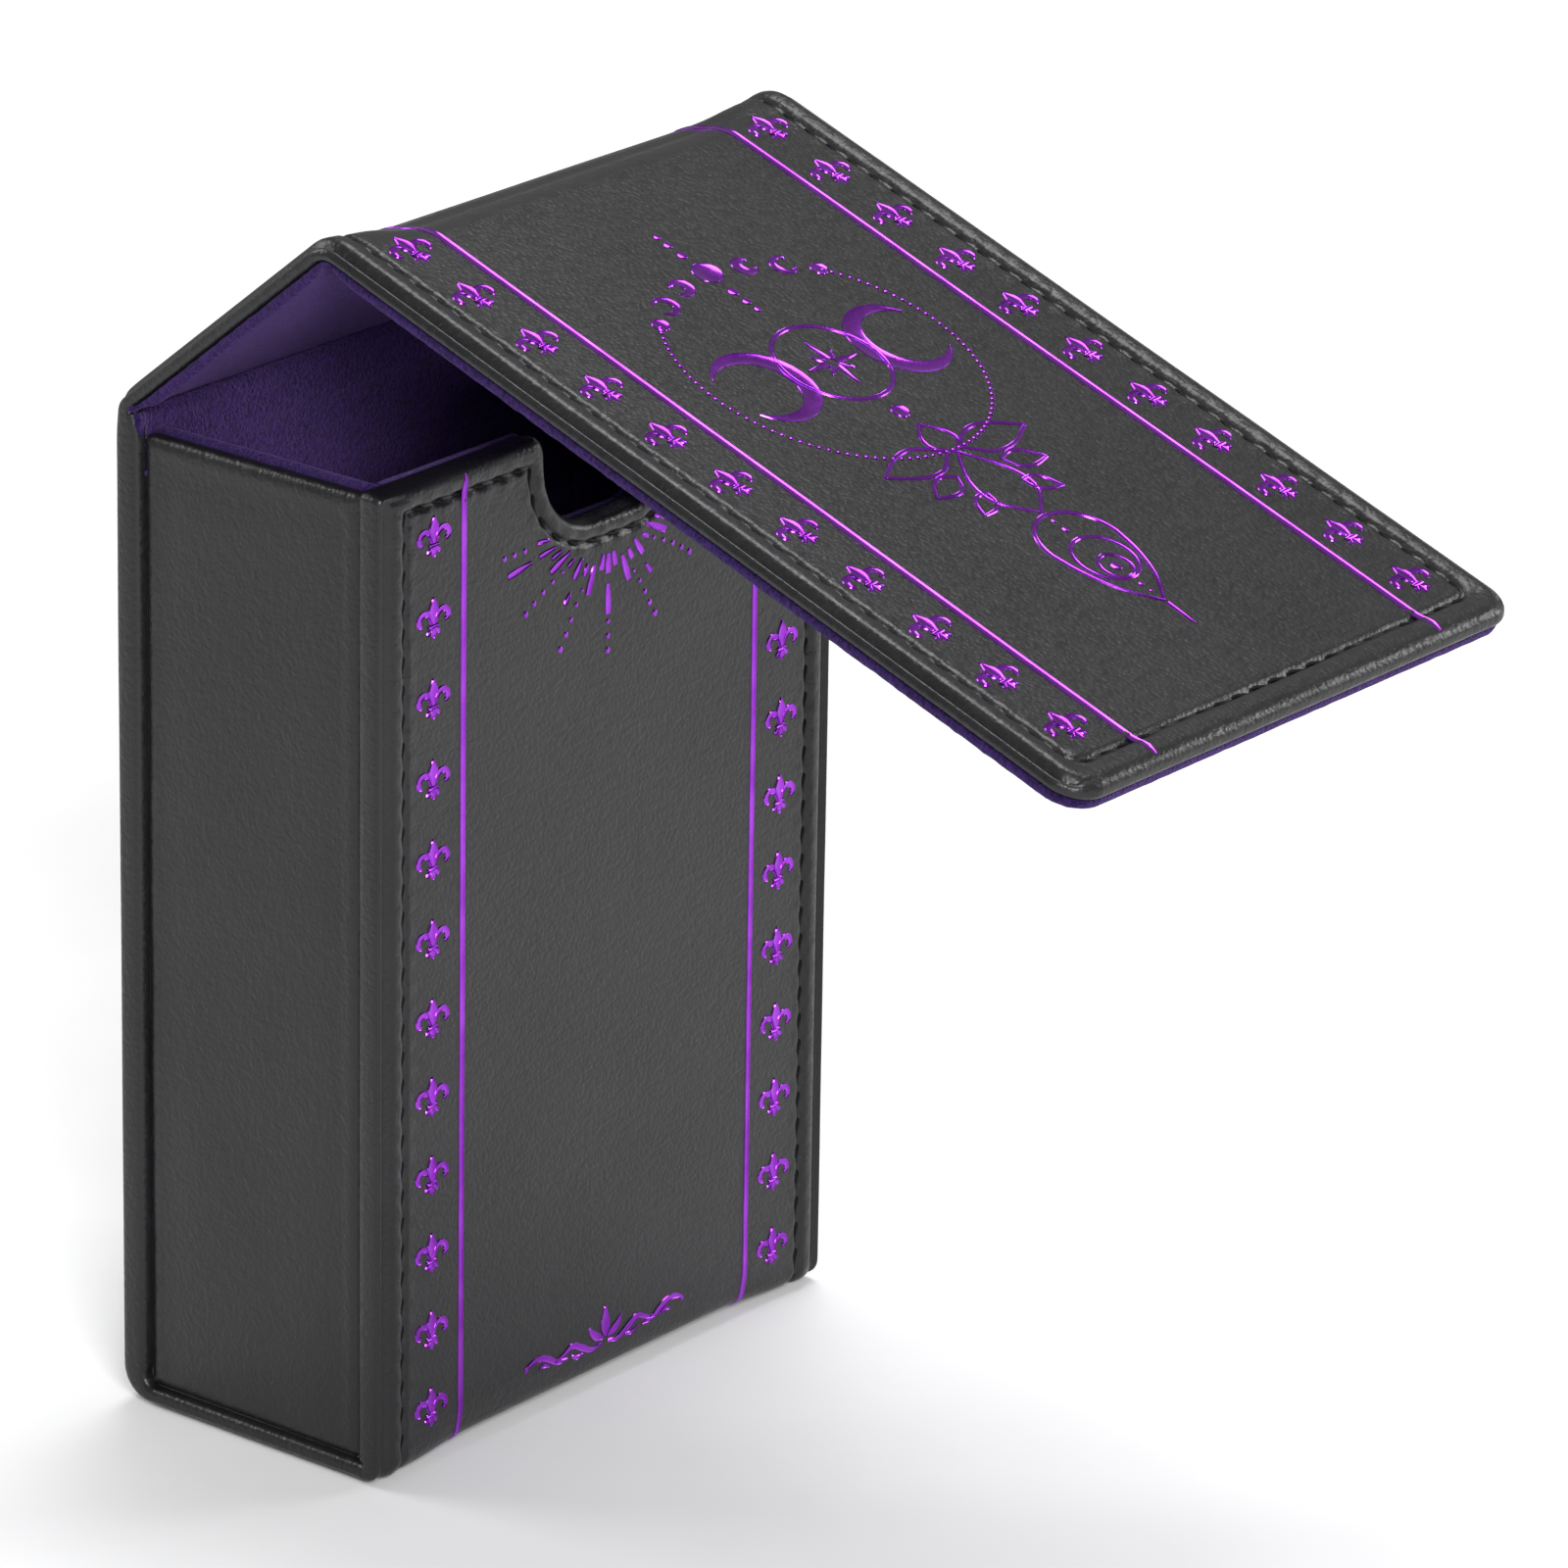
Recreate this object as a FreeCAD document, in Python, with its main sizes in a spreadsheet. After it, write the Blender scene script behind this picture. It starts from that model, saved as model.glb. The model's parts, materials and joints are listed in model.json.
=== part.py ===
import FreeCAD, Part
import Sketcher
import math
import os
import re

# A hard-cased card deck box. One long panel of stitched PU leather runs up the front, under the
# base, up the back, over the top and down again as a long closing flap. Every panel is a stack of
# leather, foam, greyboard and velvet. The leather alone crosses the two folds, which are the hinges.
#
# Frame: millimetres, +Z up, the front faces -Y, the origin is the centre of the base on the table.
# The lid is modelled half open, as it stands when somebody reaches for the cards.

doc = FreeCAD.newDocument("card_deck_box")
sheet = doc.addObject("Spreadsheet::Sheet", "Sheet")

DIMENSIONS = [
    # the box
    ("box_width", 88.0, "outer width, left edge to right edge"),
    ("box_depth", 43.2, "front face to back face"),
    ("front_height", 131.0, "top edge of the front panel"),
    ("rim_height", 130.0, "top edge of the two side panels"),
    ("front_bend", 3.0, "outer radius where the leather turns under the front"),
    ("rear_bend", 5.0, "outer radius where the leather turns up the back"),
    ("side_recess", 1.2, "side panels lie this far inside the edges of the front and back"),
    # thicknesses of the layers
    ("leather", 0.7, "PU leather"),
    ("foam", 0.5, "padding under the stitched leather"),
    ("front_card", 2.2, "greyboard of the front panel"),
    ("back_card", 1.2, "greyboard of the back panel"),
    ("side_card", 1.3, "greyboard of the side panels"),
    ("base_card", 1.5, "greyboard of the base"),
    ("lid_card", 0.8, "greyboard of the lid top and of the flap"),
    ("velvet", 1.3, "velvet that lines the box"),
    ("lid_velvet", 1.5, "deeper velvet under the lid top and the flap"),
    # the thumb notch in the front panel
    ("notch_half", 13.0, "half the width of the notch"),
    ("notch_depth", 13.3, "depth below the top edge"),
    ("notch_corner", 9.5, "radius of its lower corners"),
    ("notch_shoulder", 1.6, "radius where it meets the top edge"),
    # the rear hinge, where the back turns into the lid top
    ("lid_rise", 39.5, "degrees that the lid top stands open"),
    ("rear_depth", 2.8, "hinge axis below the outer leather"),
    ("rear_height", 132.5, "hinge axis above the table"),
    ("rear_gap", 3.3, "unboarded leather from the axis to the lid top's layers"),
    # the front fold, where the lid top turns into the flap
    ("fold_turn", 59.5, "degrees that the leather turns over the front fold"),
    ("fold_depth", 5.0, "fold axis below the outer leather"),
    ("fold_reach", 39.2, "rear hinge axis to fold axis, along the lid top"),
    ("fold_gap", 2.5, "unboarded leather each side of the fold axis"),
    ("flap_reach", 121.0, "fold axis to the tip of the flap"),
    ("tip_corner", 5.0, "radius of the flap's two free corners"),
    # stitching, foil and the hidden magnets
    ("stitch_inset", 4.8, "seam to panel edge"),
    ("stitch_pitch", 3.7, "one stitch and the gap after it"),
    ("stitch_bar", 2.9, "visible length of one stitch"),
    ("thread", 0.6, "width of the sewing thread"),
    ("thread_proud", 0.2, "thread above the leather"),
    ("notch_seam", 2.7, "seam to the edge of the notch"),
    ("foil_place", 28.3, "foil line to the centre of the panel"),
    ("foil_width", 0.8, "width of a foil line"),
    ("foil_film", 0.06, "foil above the leather"),
    ("magnet_radius", 5.0, "disc magnets and the steel discs that they meet"),
    ("magnet_clear", 0.05, "clearance of a disc in its greyboard"),
    ("magnet_place", 22.0, "disc to the centre of the panel"),
    ("magnet_drop", 110.0, "fold axis to the discs"),
]

for row, (alias, value, meaning) in enumerate(DIMENSIONS, start=1):
    sheet.set("A%d" % row, meaning)
    sheet.set("B%d" % row, str(value))
    sheet.setAlias("B%d" % row, alias)
doc.recompute()

ALIASES = [alias for alias, value, meaning in DIMENSIONS]


def size(alias):
    """One driving dimension, as a number."""
    return float(getattr(sheet, alias))


def bind(thing, prop, text):
    """Ties a property to the sheet; text is a formula in the sheet's own words."""

    def named(word):
        return "Sheet." + word.group() if word.group() in ALIASES else word.group()

    thing.setExpression(prop, re.sub(r"[a-z]+(?:_[a-z]+)*", named, text))


def at(thing, x="0", y="0", z="0", prop="Placement"):
    """Places an object at x, y, z."""
    for axis, text in (("x", x), ("y", y), ("z", z)):
        bind(thing, prop + ".Base." + axis, text)


# Formulas that several pieces share.
HALF_WIDTH = "box_width / 2"
FRONT = "-box_depth / 2"
BACK = "box_depth / 2"
SHELL_FRONT = "(leather + foam + front_card)"
SHELL_BACK = "(leather + foam + back_card)"
SHELL_SIDE = "(leather + side_card)"
SHELL_BASE = "(leather + base_card)"
SHELL_LID = "(leather + foam + lid_card)"
INSIDE_FRONT = "(-box_depth / 2 + %s)" % SHELL_FRONT
INSIDE_BACK = "(box_depth / 2 - %s)" % SHELL_BACK
SIDE_FACE = "(box_width / 2 - side_recess)"
SIDE_INNER = "(box_width / 2 - side_recess - %s)" % SHELL_SIDE
FLOOR = "(%s + velvet)" % SHELL_BASE
REAR_AXIS_Y = "(box_depth / 2 - rear_depth)"
FOLD_AXIS_Y = "(%s - fold_reach * cos(lid_rise) - (fold_depth - rear_depth) * sin(lid_rise))" % REAR_AXIS_Y
FOLD_AXIS_Z = "(rear_height + fold_reach * sin(lid_rise) - (fold_depth - rear_depth) * cos(lid_rise))"

# Each swinging panel is drawn closed, with its hinge axis at its own origin, and then opened.
FRAMES = {
    "box": ("0", "0", "0"),
    "lid_top": (REAR_AXIS_Y, "rear_height", "lid_rise"),
    "fold": (FOLD_AXIS_Y, FOLD_AXIS_Z, "lid_rise"),
    "flap": (FOLD_AXIS_Y, FOLD_AXIS_Z, "lid_rise + 90 - fold_turn"),
}
OPENING_AXIS = FreeCAD.Vector(-1, 0, 0)
UPRIGHT = FreeCAD.Vector(0, 0, 1)

nodes = []


def turned_about(axis, degrees, place=FreeCAD.Vector()):
    """A placement that turns a thing about an axis through place."""
    return FreeCAD.Placement(place, FreeCAD.Rotation(axis, degrees))


def set_in_frame(thing, frame):
    """Moves a finished piece from its panel's own frame to where the panel stands."""
    y, z, opened = FRAMES[frame]
    thing.Placement = turned_about(OPENING_AXIS, 1.0)
    at(thing, "0", y, z)
    bind(thing, "Placement.Rotation.Angle", opened)


def piece(label, frame="box"):
    """A new sub-part: an empty body with its label and its place."""
    body = doc.addObject("PartDesign::Body", label)
    body.Label = label
    if frame != "box":
        set_in_frame(body, frame)
    nodes.append(body)
    return body


def origin_plane(body, role):
    return [plane for plane in body.Origin.OriginFeatures if plane.Role == role][0]


def attach(feature, body, role="XY_Plane"):
    feature.AttachmentSupport = [(origin_plane(body, role), "")]
    feature.MapMode = "FlatFace"


def block(body, name, x, y, z, cut=False):
    """A rectangular block, added or cut away; each of x, y and z is a low and a high formula."""
    kind = "PartDesign::SubtractiveBox" if cut else "PartDesign::AdditiveBox"
    feature = body.newObject(kind, body.Label + "_" + name)
    attach(feature, body)
    at(feature, x[0], y[0], z[0], prop="AttachmentOffset")
    for prop, span in (("Length", x), ("Width", y), ("Height", z)):
        bind(feature, prop, "(%s) - (%s)" % (span[1], span[0]))
    return feature


def rod(body, name, radius, start, angle, y="0", z="0", half="box_width / 2", cut=False):
    """A sector of a cylinder along X, from -half to +half, added or cut away."""
    kind = "PartDesign::SubtractiveCylinder" if cut else "PartDesign::AdditiveCylinder"
    feature = body.newObject(kind, body.Label + "_" + name)
    attach(feature, body, "YZ_Plane")
    feature.AttachmentOffset = turned_about(UPRIGHT, 1.0)
    at(feature, y, z, "-(%s)" % half, prop="AttachmentOffset")
    bind(feature, "AttachmentOffset.Rotation.Angle", start)
    bind(feature, "Radius", radius)
    bind(feature, "Height", "2 * (%s)" % half)
    bind(feature, "Angle", angle)
    return feature


def both_ways(half):
    """The low and high formulas of a span that is the same each side of the middle."""
    return "-(%s)" % half, half


def u_sketch(body, name, grow, y):
    """The outline of the thumb notch, larger by grow, drawn on a plane at depth y."""
    sketch = body.newObject("Sketcher::SketchObject", body.Label + "_" + name)
    attach(sketch, body, "XZ_Plane")
    at(sketch, "0", "front_height", "-(%s)" % y, prop="AttachmentOffset")
    half = size("notch_half")
    drop = size("notch_depth")
    corner = size("notch_corner")
    over = 2.0
    vector = FreeCAD.Vector
    normal = vector(0, 0, 1)

    def lower_corner(middle, start, end):
        return Part.ArcOfCircle(Part.Circle(middle, normal, corner), start, end)

    sketch.addGeometry([
        Part.LineSegment(vector(-half, over, 0), vector(-half, corner - drop, 0)),
        lower_corner(vector(corner - half, corner - drop, 0), math.pi, 1.5 * math.pi),
        Part.LineSegment(vector(corner - half, -drop, 0), vector(half - corner, -drop, 0)),
        lower_corner(vector(half - corner, corner - drop, 0), 1.5 * math.pi, 2 * math.pi),
        Part.LineSegment(vector(half, corner - drop, 0), vector(half, over, 0)),
        Part.LineSegment(vector(half, over, 0), vector(-half, over, 0)),
    ], False)
    left, left_arc, floor, right_arc, right, top = range(6)
    start, end, middle = 1, 2, 3
    sketch.addConstraint([
        Sketcher.Constraint("Tangent", left, end, left_arc, start),
        Sketcher.Constraint("Tangent", left_arc, end, floor, start),
        Sketcher.Constraint("Tangent", floor, end, right_arc, start),
        Sketcher.Constraint("Tangent", right_arc, end, right, start),
        Sketcher.Constraint("Coincident", right, end, top, start),
        Sketcher.Constraint("Coincident", top, end, left, start),
        Sketcher.Constraint("Vertical", left),
        Sketcher.Constraint("Vertical", right),
        Sketcher.Constraint("Equal", left_arc, right_arc),
        Sketcher.Constraint("Symmetric", left, start, right, end, -2),
    ])
    for label, text, constraint in (
        ("width", "2 * (notch_half + %s)" % grow, ("DistanceX", left, start, right, end)),
        ("drop", "notch_depth + %s" % grow, ("DistanceY", floor, start, -1, 1)),
        ("corner", "notch_corner + %s" % grow, ("Radius", left_arc)),
        ("over", "2", ("DistanceY", -1, 1, left, start)),
    ):
        value = {"width": 2 * half, "drop": drop, "corner": corner, "over": over}[label]
        index = sketch.addConstraint(Sketcher.Constraint(*constraint, value))
        sketch.renameConstraint(index, label)
        bind(sketch, "Constraints." + label, text)
    return sketch


def cut_u(body, grow, y_inner, depth):
    """Cuts the notch through a layer of the front panel, from its inner face outwards."""
    pocket = body.newObject("PartDesign::Pocket", body.Label + "_notch")
    pocket.Profile = u_sketch(body, "notch_outline", grow, y_inner)
    pocket.Reversed = True
    bind(pocket, "Length", depth)
    return pocket


def round_edges(body, base, name, radius, wanted):
    """Rounds the edges of a feature that the test picks out."""
    doc.recompute()
    edges = ["Edge%d" % number for number, edge in enumerate(base.Shape.Edges, start=1) if wanted(edge)]
    if not edges:
        raise RuntimeError("no edge to round on " + body.Label)
    feature = body.newObject("PartDesign::Fillet", body.Label + "_" + name)
    feature.Base = (base, edges)
    bind(feature, "Radius", radius)
    return feature


def along_y(edge, x, z, reach=0.01):
    """True for an edge parallel to Y that stands at |x| and z."""
    ends = [vertex.Point for vertex in edge.Vertexes]
    if len(ends) != 2 or abs(ends[0].x - ends[1].x) > reach:
        return False
    return all(abs(abs(end.x) - x) < reach and abs(end.z - z) < reach for end in ends)


# ---------------------------------------------------------------- front panel
# The leather is a shallow tray that wraps the foam and the greyboard round their edges and round
# the notch; the velvet closes it on the inside.

NOTCH_TOP = size("front_height")
front_across = both_ways(HALF_WIDTH)
front_pack = both_ways(HALF_WIDTH + " - leather")

front_leather = piece("front_leather")
block(front_leather, "skin", front_across, (FRONT, INSIDE_FRONT), ("front_bend", "front_height"))
block(front_leather, "hollow", front_pack, (FRONT + " + leather", INSIDE_FRONT),
      ("front_bend", "front_height - leather"), cut=True)
notch_lip = front_leather.newObject("PartDesign::Pad", "front_leather_lip")
notch_lip.Profile = u_sketch(front_leather, "lip_outline", "leather", INSIDE_FRONT)
bind(notch_lip, "Length", "foam + front_card")
front_notch = cut_u(front_leather, "0", INSIDE_FRONT, SHELL_FRONT)
round_edges(front_leather, front_notch, "shoulders", "notch_shoulder",
            lambda edge: along_y(edge, size("notch_half"), NOTCH_TOP))

front_foam = piece("front_foam")
block(front_foam, "sheet", front_pack, (FRONT + " + leather", FRONT + " + leather + foam"),
      ("front_bend", "front_height - leather"))
cut_u(front_foam, "leather", FRONT + " + leather + foam", "foam")

front_board = piece("front_board")
block(front_board, "sheet", front_pack, (FRONT + " + leather + foam", INSIDE_FRONT),
      ("front_bend", "front_height - leather"))
cut_u(front_board, "leather", INSIDE_FRONT, "front_card")

front_lining = piece("front_lining")
block(front_lining, "sheet", both_ways(SIDE_INNER + " - velvet"), (INSIDE_FRONT, INSIDE_FRONT + " + velvet"),
      (FLOOR, "rim_height"))
cut_u(front_lining, "0", INSIDE_FRONT + " + velvet", "velvet")

# ---------------------------------------------------------------- back panel

BACK_HEIGHT = ("rear_bend", "rear_height")

back_leather = piece("back_leather")
block(back_leather, "skin", front_across, (INSIDE_BACK, BACK), BACK_HEIGHT)
block(back_leather, "hollow", front_pack, (INSIDE_BACK, BACK + " - leather"), BACK_HEIGHT, cut=True)

back_foam = piece("back_foam")
block(back_foam, "sheet", front_pack, (BACK + " - leather - foam", BACK + " - leather"), BACK_HEIGHT)

back_board = piece("back_board")
block(back_board, "sheet", front_pack, (INSIDE_BACK, INSIDE_BACK + " + back_card"), BACK_HEIGHT)

back_lining = piece("back_lining")
block(back_lining, "sheet", both_ways(SIDE_INNER + " - velvet"), (INSIDE_BACK + " - velvet", INSIDE_BACK),
      (FLOOR, "rear_height"))

# ---------------------------------------------------------------- base
# The leather turns under the base in two bends of different radius, and wraps its two side edges.

base_leather = piece("base_leather")
block(base_leather, "sheet", front_across, (FRONT + " + front_bend", BACK + " - rear_bend"), ("0", "leather"))
for end, centre, radius, quarter in (
    ("front", FRONT + " + front_bend", "front_bend", "180"),
    ("rear", BACK + " - rear_bend", "rear_bend", "270"),
):
    rod(base_leather, end + "_bend", radius, quarter, "90", y=centre, z=radius)
    rod(base_leather, end + "_hollow", radius + " - leather", "0", "360", y=centre, z=radius, cut=True)
for side, low, high in (
    ("left", "-" + HALF_WIDTH, "-" + HALF_WIDTH + " + leather"),
    ("right", HALF_WIDTH + " - leather", HALF_WIDTH),
):
    block(base_leather, side + "_edge", (low, high),
          (INSIDE_FRONT, INSIDE_BACK + " - rear_bend + " + SHELL_BACK), ("0", SHELL_BASE))

base_board = piece("base_board")
block(base_board, "sheet", front_pack, (INSIDE_FRONT, BACK + " - rear_bend"), ("leather", SHELL_BASE))

base_lining = piece("base_lining")
block(base_lining, "sheet", both_ways(SIDE_INNER), (INSIDE_FRONT, INSIDE_BACK), (SHELL_BASE, FLOOR))

# ---------------------------------------------------------------- side panels
# Plain leather trays between the front and the back, a little inside their edges.

for side, sign in (("left", "-"), ("right", "")):

    def span(inner, outer):
        """A stretch of X on this side, from its inner to its outer face."""
        ends = ("%s(%s)" % (sign, inner), "%s(%s)" % (sign, outer))
        return ends if sign == "" else ends[::-1]

    side_depth = (INSIDE_FRONT, INSIDE_BACK)
    side_pack = (INSIDE_FRONT + " + leather", INSIDE_BACK + " - leather")

    leather_tray = piece(side + "_leather")
    block(leather_tray, "skin", span(SIDE_INNER, SIDE_FACE), side_depth, (SHELL_BASE, "rim_height"))
    block(leather_tray, "hollow", span(SIDE_INNER, SIDE_FACE + " - leather"), side_pack,
          (SHELL_BASE, "rim_height - leather"), cut=True)

    board = piece(side + "_board")
    block(board, "sheet", span(SIDE_INNER, SIDE_FACE + " - leather"), side_pack,
          (SHELL_BASE, "rim_height - leather"))

    lining = piece(side + "_lining")
    block(lining, "sheet", span(SIDE_INNER + " - velvet", SIDE_INNER), side_depth, (FLOOR, "rim_height"))

# ---------------------------------------------------------------- rear hinge
# Leather and velvet without a board, bent round the hinge axis and glued together.

LID_LENGTH = ("-(fold_reach - fold_gap)", "-rear_gap")
HINGE_VELVET = "velvet"

for label, outer, inner in (
    ("rear_hinge_leather", "rear_depth", "rear_depth - leather"),
    ("rear_hinge_lining", "rear_depth - leather", "rear_depth - leather - " + HINGE_VELVET),
):
    strip = piece(label, "lid_top")
    rod(strip, "bend", outer, "lid_rise", "90 - lid_rise")
    rod(strip, "hollow", inner, "0", "360", cut=True)
    block(strip, "leaf", front_across, ("-rear_gap", "0"), (inner, outer))

# ---------------------------------------------------------------- lid top

lid_top_leather = piece("lid_top_leather", "lid_top")
block(lid_top_leather, "skin", front_across, LID_LENGTH, ("rear_depth - " + SHELL_LID, "rear_depth"))
block(lid_top_leather, "hollow", front_pack, LID_LENGTH,
      ("rear_depth - " + SHELL_LID, "rear_depth - leather"), cut=True)

for label, across, low, high in (
    ("lid_top_foam", front_pack, "rear_depth - leather - foam", "rear_depth - leather"),
    ("lid_top_board", front_pack, "rear_depth - " + SHELL_LID, "rear_depth - leather - foam"),
    ("lid_top_lining", front_across, "rear_depth - %s - lid_velvet" % SHELL_LID, "rear_depth - " + SHELL_LID),
):
    layer = piece(label, "lid_top")
    block(layer, "sheet", across, LID_LENGTH, (low, high))

# ---------------------------------------------------------------- front fold
# The same unboarded pair of layers, bent round the fold axis, with a leaf on each panel.

for label, outer, inner in (
    ("fold_leather", "fold_depth", "fold_depth - leather"),
    ("fold_lining", "fold_depth - leather", "fold_depth - leather - " + HINGE_VELVET),
):
    strip = piece(label, "fold")
    rod(strip, "bend", outer, "90", "fold_turn")
    rod(strip, "hollow", inner, "0", "360", cut=True)
    block(strip, "lid_leaf", front_across, ("0", "fold_gap"), (inner, outer))
    leaf = strip.newObject("PartDesign::AdditiveBox", label + "_flap_leaf")
    attach(leaf, strip, "YZ_Plane")
    leaf.AttachmentOffset = turned_about(UPRIGHT, 1.0)
    at(leaf, "-fold_gap * cos(fold_turn) - (%s) * sin(fold_turn)" % inner,
       "-fold_gap * sin(fold_turn) + (%s) * cos(fold_turn)" % inner, "-" + HALF_WIDTH, prop="AttachmentOffset")
    bind(leaf, "AttachmentOffset.Rotation.Angle", "fold_turn")
    bind(leaf, "Length", "fold_gap")
    bind(leaf, "Width", "(%s) - (%s)" % (outer, inner))
    bind(leaf, "Height", "box_width")

# ---------------------------------------------------------------- flap
# Drawn as it hangs when closed: the tip is down and the leather faces -Y.

FLAP_LENGTH = ("-flap_reach", "-fold_gap")
FLAP_PACK = ("-flap_reach + leather", "-fold_gap")
FLAP_FACE = "-fold_depth"
FLAP_BACK = "(-fold_depth + %s)" % SHELL_LID
TIP = -size("flap_reach")
HALF = size("box_width") / 2
SKIN = size("leather")

flap_leather = piece("flap_leather", "flap")
block(flap_leather, "skin", front_across, (FLAP_FACE, FLAP_BACK), FLAP_LENGTH)
flap_hollow = block(flap_leather, "hollow", front_pack, (FLAP_FACE + " + leather", FLAP_BACK), FLAP_PACK,
                    cut=True)
flap_inner = round_edges(flap_leather, flap_hollow, "inner_corners", "tip_corner - leather",
                         lambda edge: along_y(edge, HALF - SKIN, TIP + SKIN))
round_edges(flap_leather, flap_inner, "corners", "tip_corner", lambda edge: along_y(edge, HALF, TIP))

flap_foam = piece("flap_foam", "flap")
flap_pad = block(flap_foam, "sheet", front_pack, (FLAP_FACE + " + leather", FLAP_FACE + " + leather + foam"),
                 FLAP_PACK)
round_edges(flap_foam, flap_pad, "corners", "tip_corner - leather",
            lambda edge: along_y(edge, HALF - SKIN, TIP + SKIN))

flap_board = piece("flap_board", "flap")
flap_card = block(flap_board, "sheet", front_pack, (FLAP_FACE + " + leather + foam", FLAP_BACK), FLAP_PACK)
round_edges(flap_board, flap_card, "corners", "tip_corner - leather",
            lambda edge: along_y(edge, HALF - SKIN, TIP + SKIN))

flap_lining = piece("flap_lining", "flap")
flap_nap = block(flap_lining, "sheet", front_across, (FLAP_BACK, FLAP_BACK + " + lid_velvet"), FLAP_LENGTH)
round_edges(flap_lining, flap_nap, "corners", "tip_corner", lambda edge: along_y(edge, HALF, TIP))

# ---------------------------------------------------------------- magnets
# Two disc magnets lie in the flap's greyboard and meet two steel discs in the front panel.

CLOSED_FOLD_Z = "(rear_height + rear_depth - fold_depth)"


def discs(label, frame, y, thick, z):
    """Two discs that lie flat in a panel, left and right of its middle."""
    pair = []
    for side, sign in (("left", "-"), ("right", "")):
        disc = doc.addObject("Part::Cylinder", label + "_" + side)
        disc.Placement = turned_about(OPENING_AXIS, 90)
        at(disc, sign + "magnet_place", y, z)
        bind(disc, "Radius", "magnet_radius")
        bind(disc, "Height", thick)
        pair.append(disc)
    group = doc.addObject("Part::Compound", label)
    group.Label = label
    group.Links = pair
    if frame != "box":
        set_in_frame(group, frame)
    nodes.append(group)


def disc_holes(body, y, thick, z):
    """The two holes that the discs lie in."""
    for side, sign in (("left", "-"), ("right", "")):
        hole = body.newObject("PartDesign::SubtractiveCylinder", "%s_%s_hole" % (body.Label, side))
        attach(hole, body, "XZ_Plane")
        at(hole, sign + "magnet_place", z, "-(%s) - (%s)" % (y, thick), prop="AttachmentOffset")
        bind(hole, "Radius", "magnet_radius + magnet_clear")
        bind(hole, "Height", thick)


MAGNET_Y = FLAP_FACE + " + leather + foam"
STEEL_Y = FRONT + " + leather + foam"
STEEL_Z = CLOSED_FOLD_Z + " - magnet_drop"
STEEL_THICK = "lid_card"
discs("flap_magnets", "flap", MAGNET_Y, "lid_card", "-magnet_drop")
discs("front_steel_discs", "box", STEEL_Y, STEEL_THICK, STEEL_Z)
disc_holes(flap_board, MAGNET_Y, "lid_card", "-magnet_drop")
disc_holes(front_board, STEEL_Y, STEEL_THICK, STEEL_Z)

# ---------------------------------------------------------------- foil lines
# Two straight lines of stamped foil run the length of each decorated panel, between its seams.


def foil_lines(label, frame, y, z):
    """A pair of foil lines; y and z are each a low and a high formula."""
    pair = []
    for side, sign in (("left", "-"), ("right", "")):
        line = doc.addObject("Part::Box", label + "_" + side)
        at(line, sign + "foil_place - foil_width / 2", y[0], z[0])
        bind(line, "Length", "foil_width")
        bind(line, "Width", "(%s) - (%s)" % (y[1], y[0]))
        bind(line, "Height", "(%s) - (%s)" % (z[1], z[0]))
        pair.append(line)
    group = doc.addObject("Part::Compound", label)
    group.Label = label
    group.Links = pair
    if frame != "box":
        set_in_frame(group, frame)
    nodes.append(group)


foil_lines("front_foil", "box", (FRONT + " - foil_film", FRONT), ("front_bend", "front_height - stitch_inset"))
foil_lines("lid_top_foil", "lid_top", LID_LENGTH, ("rear_depth", "rear_depth + foil_film"))
foil_lines("flap_foil", "flap", (FLAP_FACE + " - foil_film", FLAP_FACE),
           ("-flap_reach + stitch_inset + thread", "-fold_gap"))

# ---------------------------------------------------------------- stitching
# Each seam is a row of short bars of thread along its path. A row has as many stitches as fit.


def seam(path, outward):
    """The stitches of one seam: path is a wire on the leather, outward its normal."""
    pitch = size("stitch_pitch")
    count = max(1, round(path.Length / pitch))
    points = path.discretize(Number=count + 1)
    share = size("stitch_bar") / pitch
    bars = []
    for start, end in zip(points, points[1:]):
        along = end - start
        across = along.cross(outward)
        across.normalize()
        across *= size("thread") / 2
        near = start + along * ((1 - share) / 2)
        far = start + along * ((1 + share) / 2)
        foot = Part.makePolygon([near - across, far - across, far + across, near + across, near - across])
        bars.append(Part.Face(foot).extrude(outward * size("thread_proud")))
    return bars


def stitching(label, seams, outward, frame=None):
    """A node of thread: all the seams of one panel."""
    bars = []
    for path in seams:
        bars += seam(path, outward)
    node = doc.addObject("Part::Feature", label)
    node.Label = label
    node.Shape = Part.makeCompound(bars)
    if frame:
        node.Placement = frame
    nodes.append(node)


def straight(start, end):
    return Part.Wire([Part.makeLine(start, end)])


SEAM_X = HALF - size("stitch_inset")
SEAM_CLEAR = size("stitch_pitch") / 2
front_y = -size("box_depth") / 2
back_y = size("box_depth") / 2
rise = math.radians(size("lid_rise"))
rear_axis_y = back_y - size("rear_depth")
fold_drop = size("fold_depth") - size("rear_depth")
fold_axis_y = rear_axis_y - size("fold_reach") * math.cos(rise) - fold_drop * math.sin(rise)
fold_axis_z = size("rear_height") + size("fold_reach") * math.sin(rise) - fold_drop * math.cos(rise)

# The front seam follows the top edge and dips round the notch.
seam_top = size("front_height") - size("stitch_inset") + 1.4
notch_x = size("notch_half") + size("notch_seam")
notch_z = size("front_height") - size("notch_depth") - size("notch_seam")
notch_r = size("notch_corner") + size("notch_seam")
to_arc = notch_r * (1 - math.sqrt(0.5))


def front_point(x, z):
    return FreeCAD.Vector(x, front_y, z)


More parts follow.
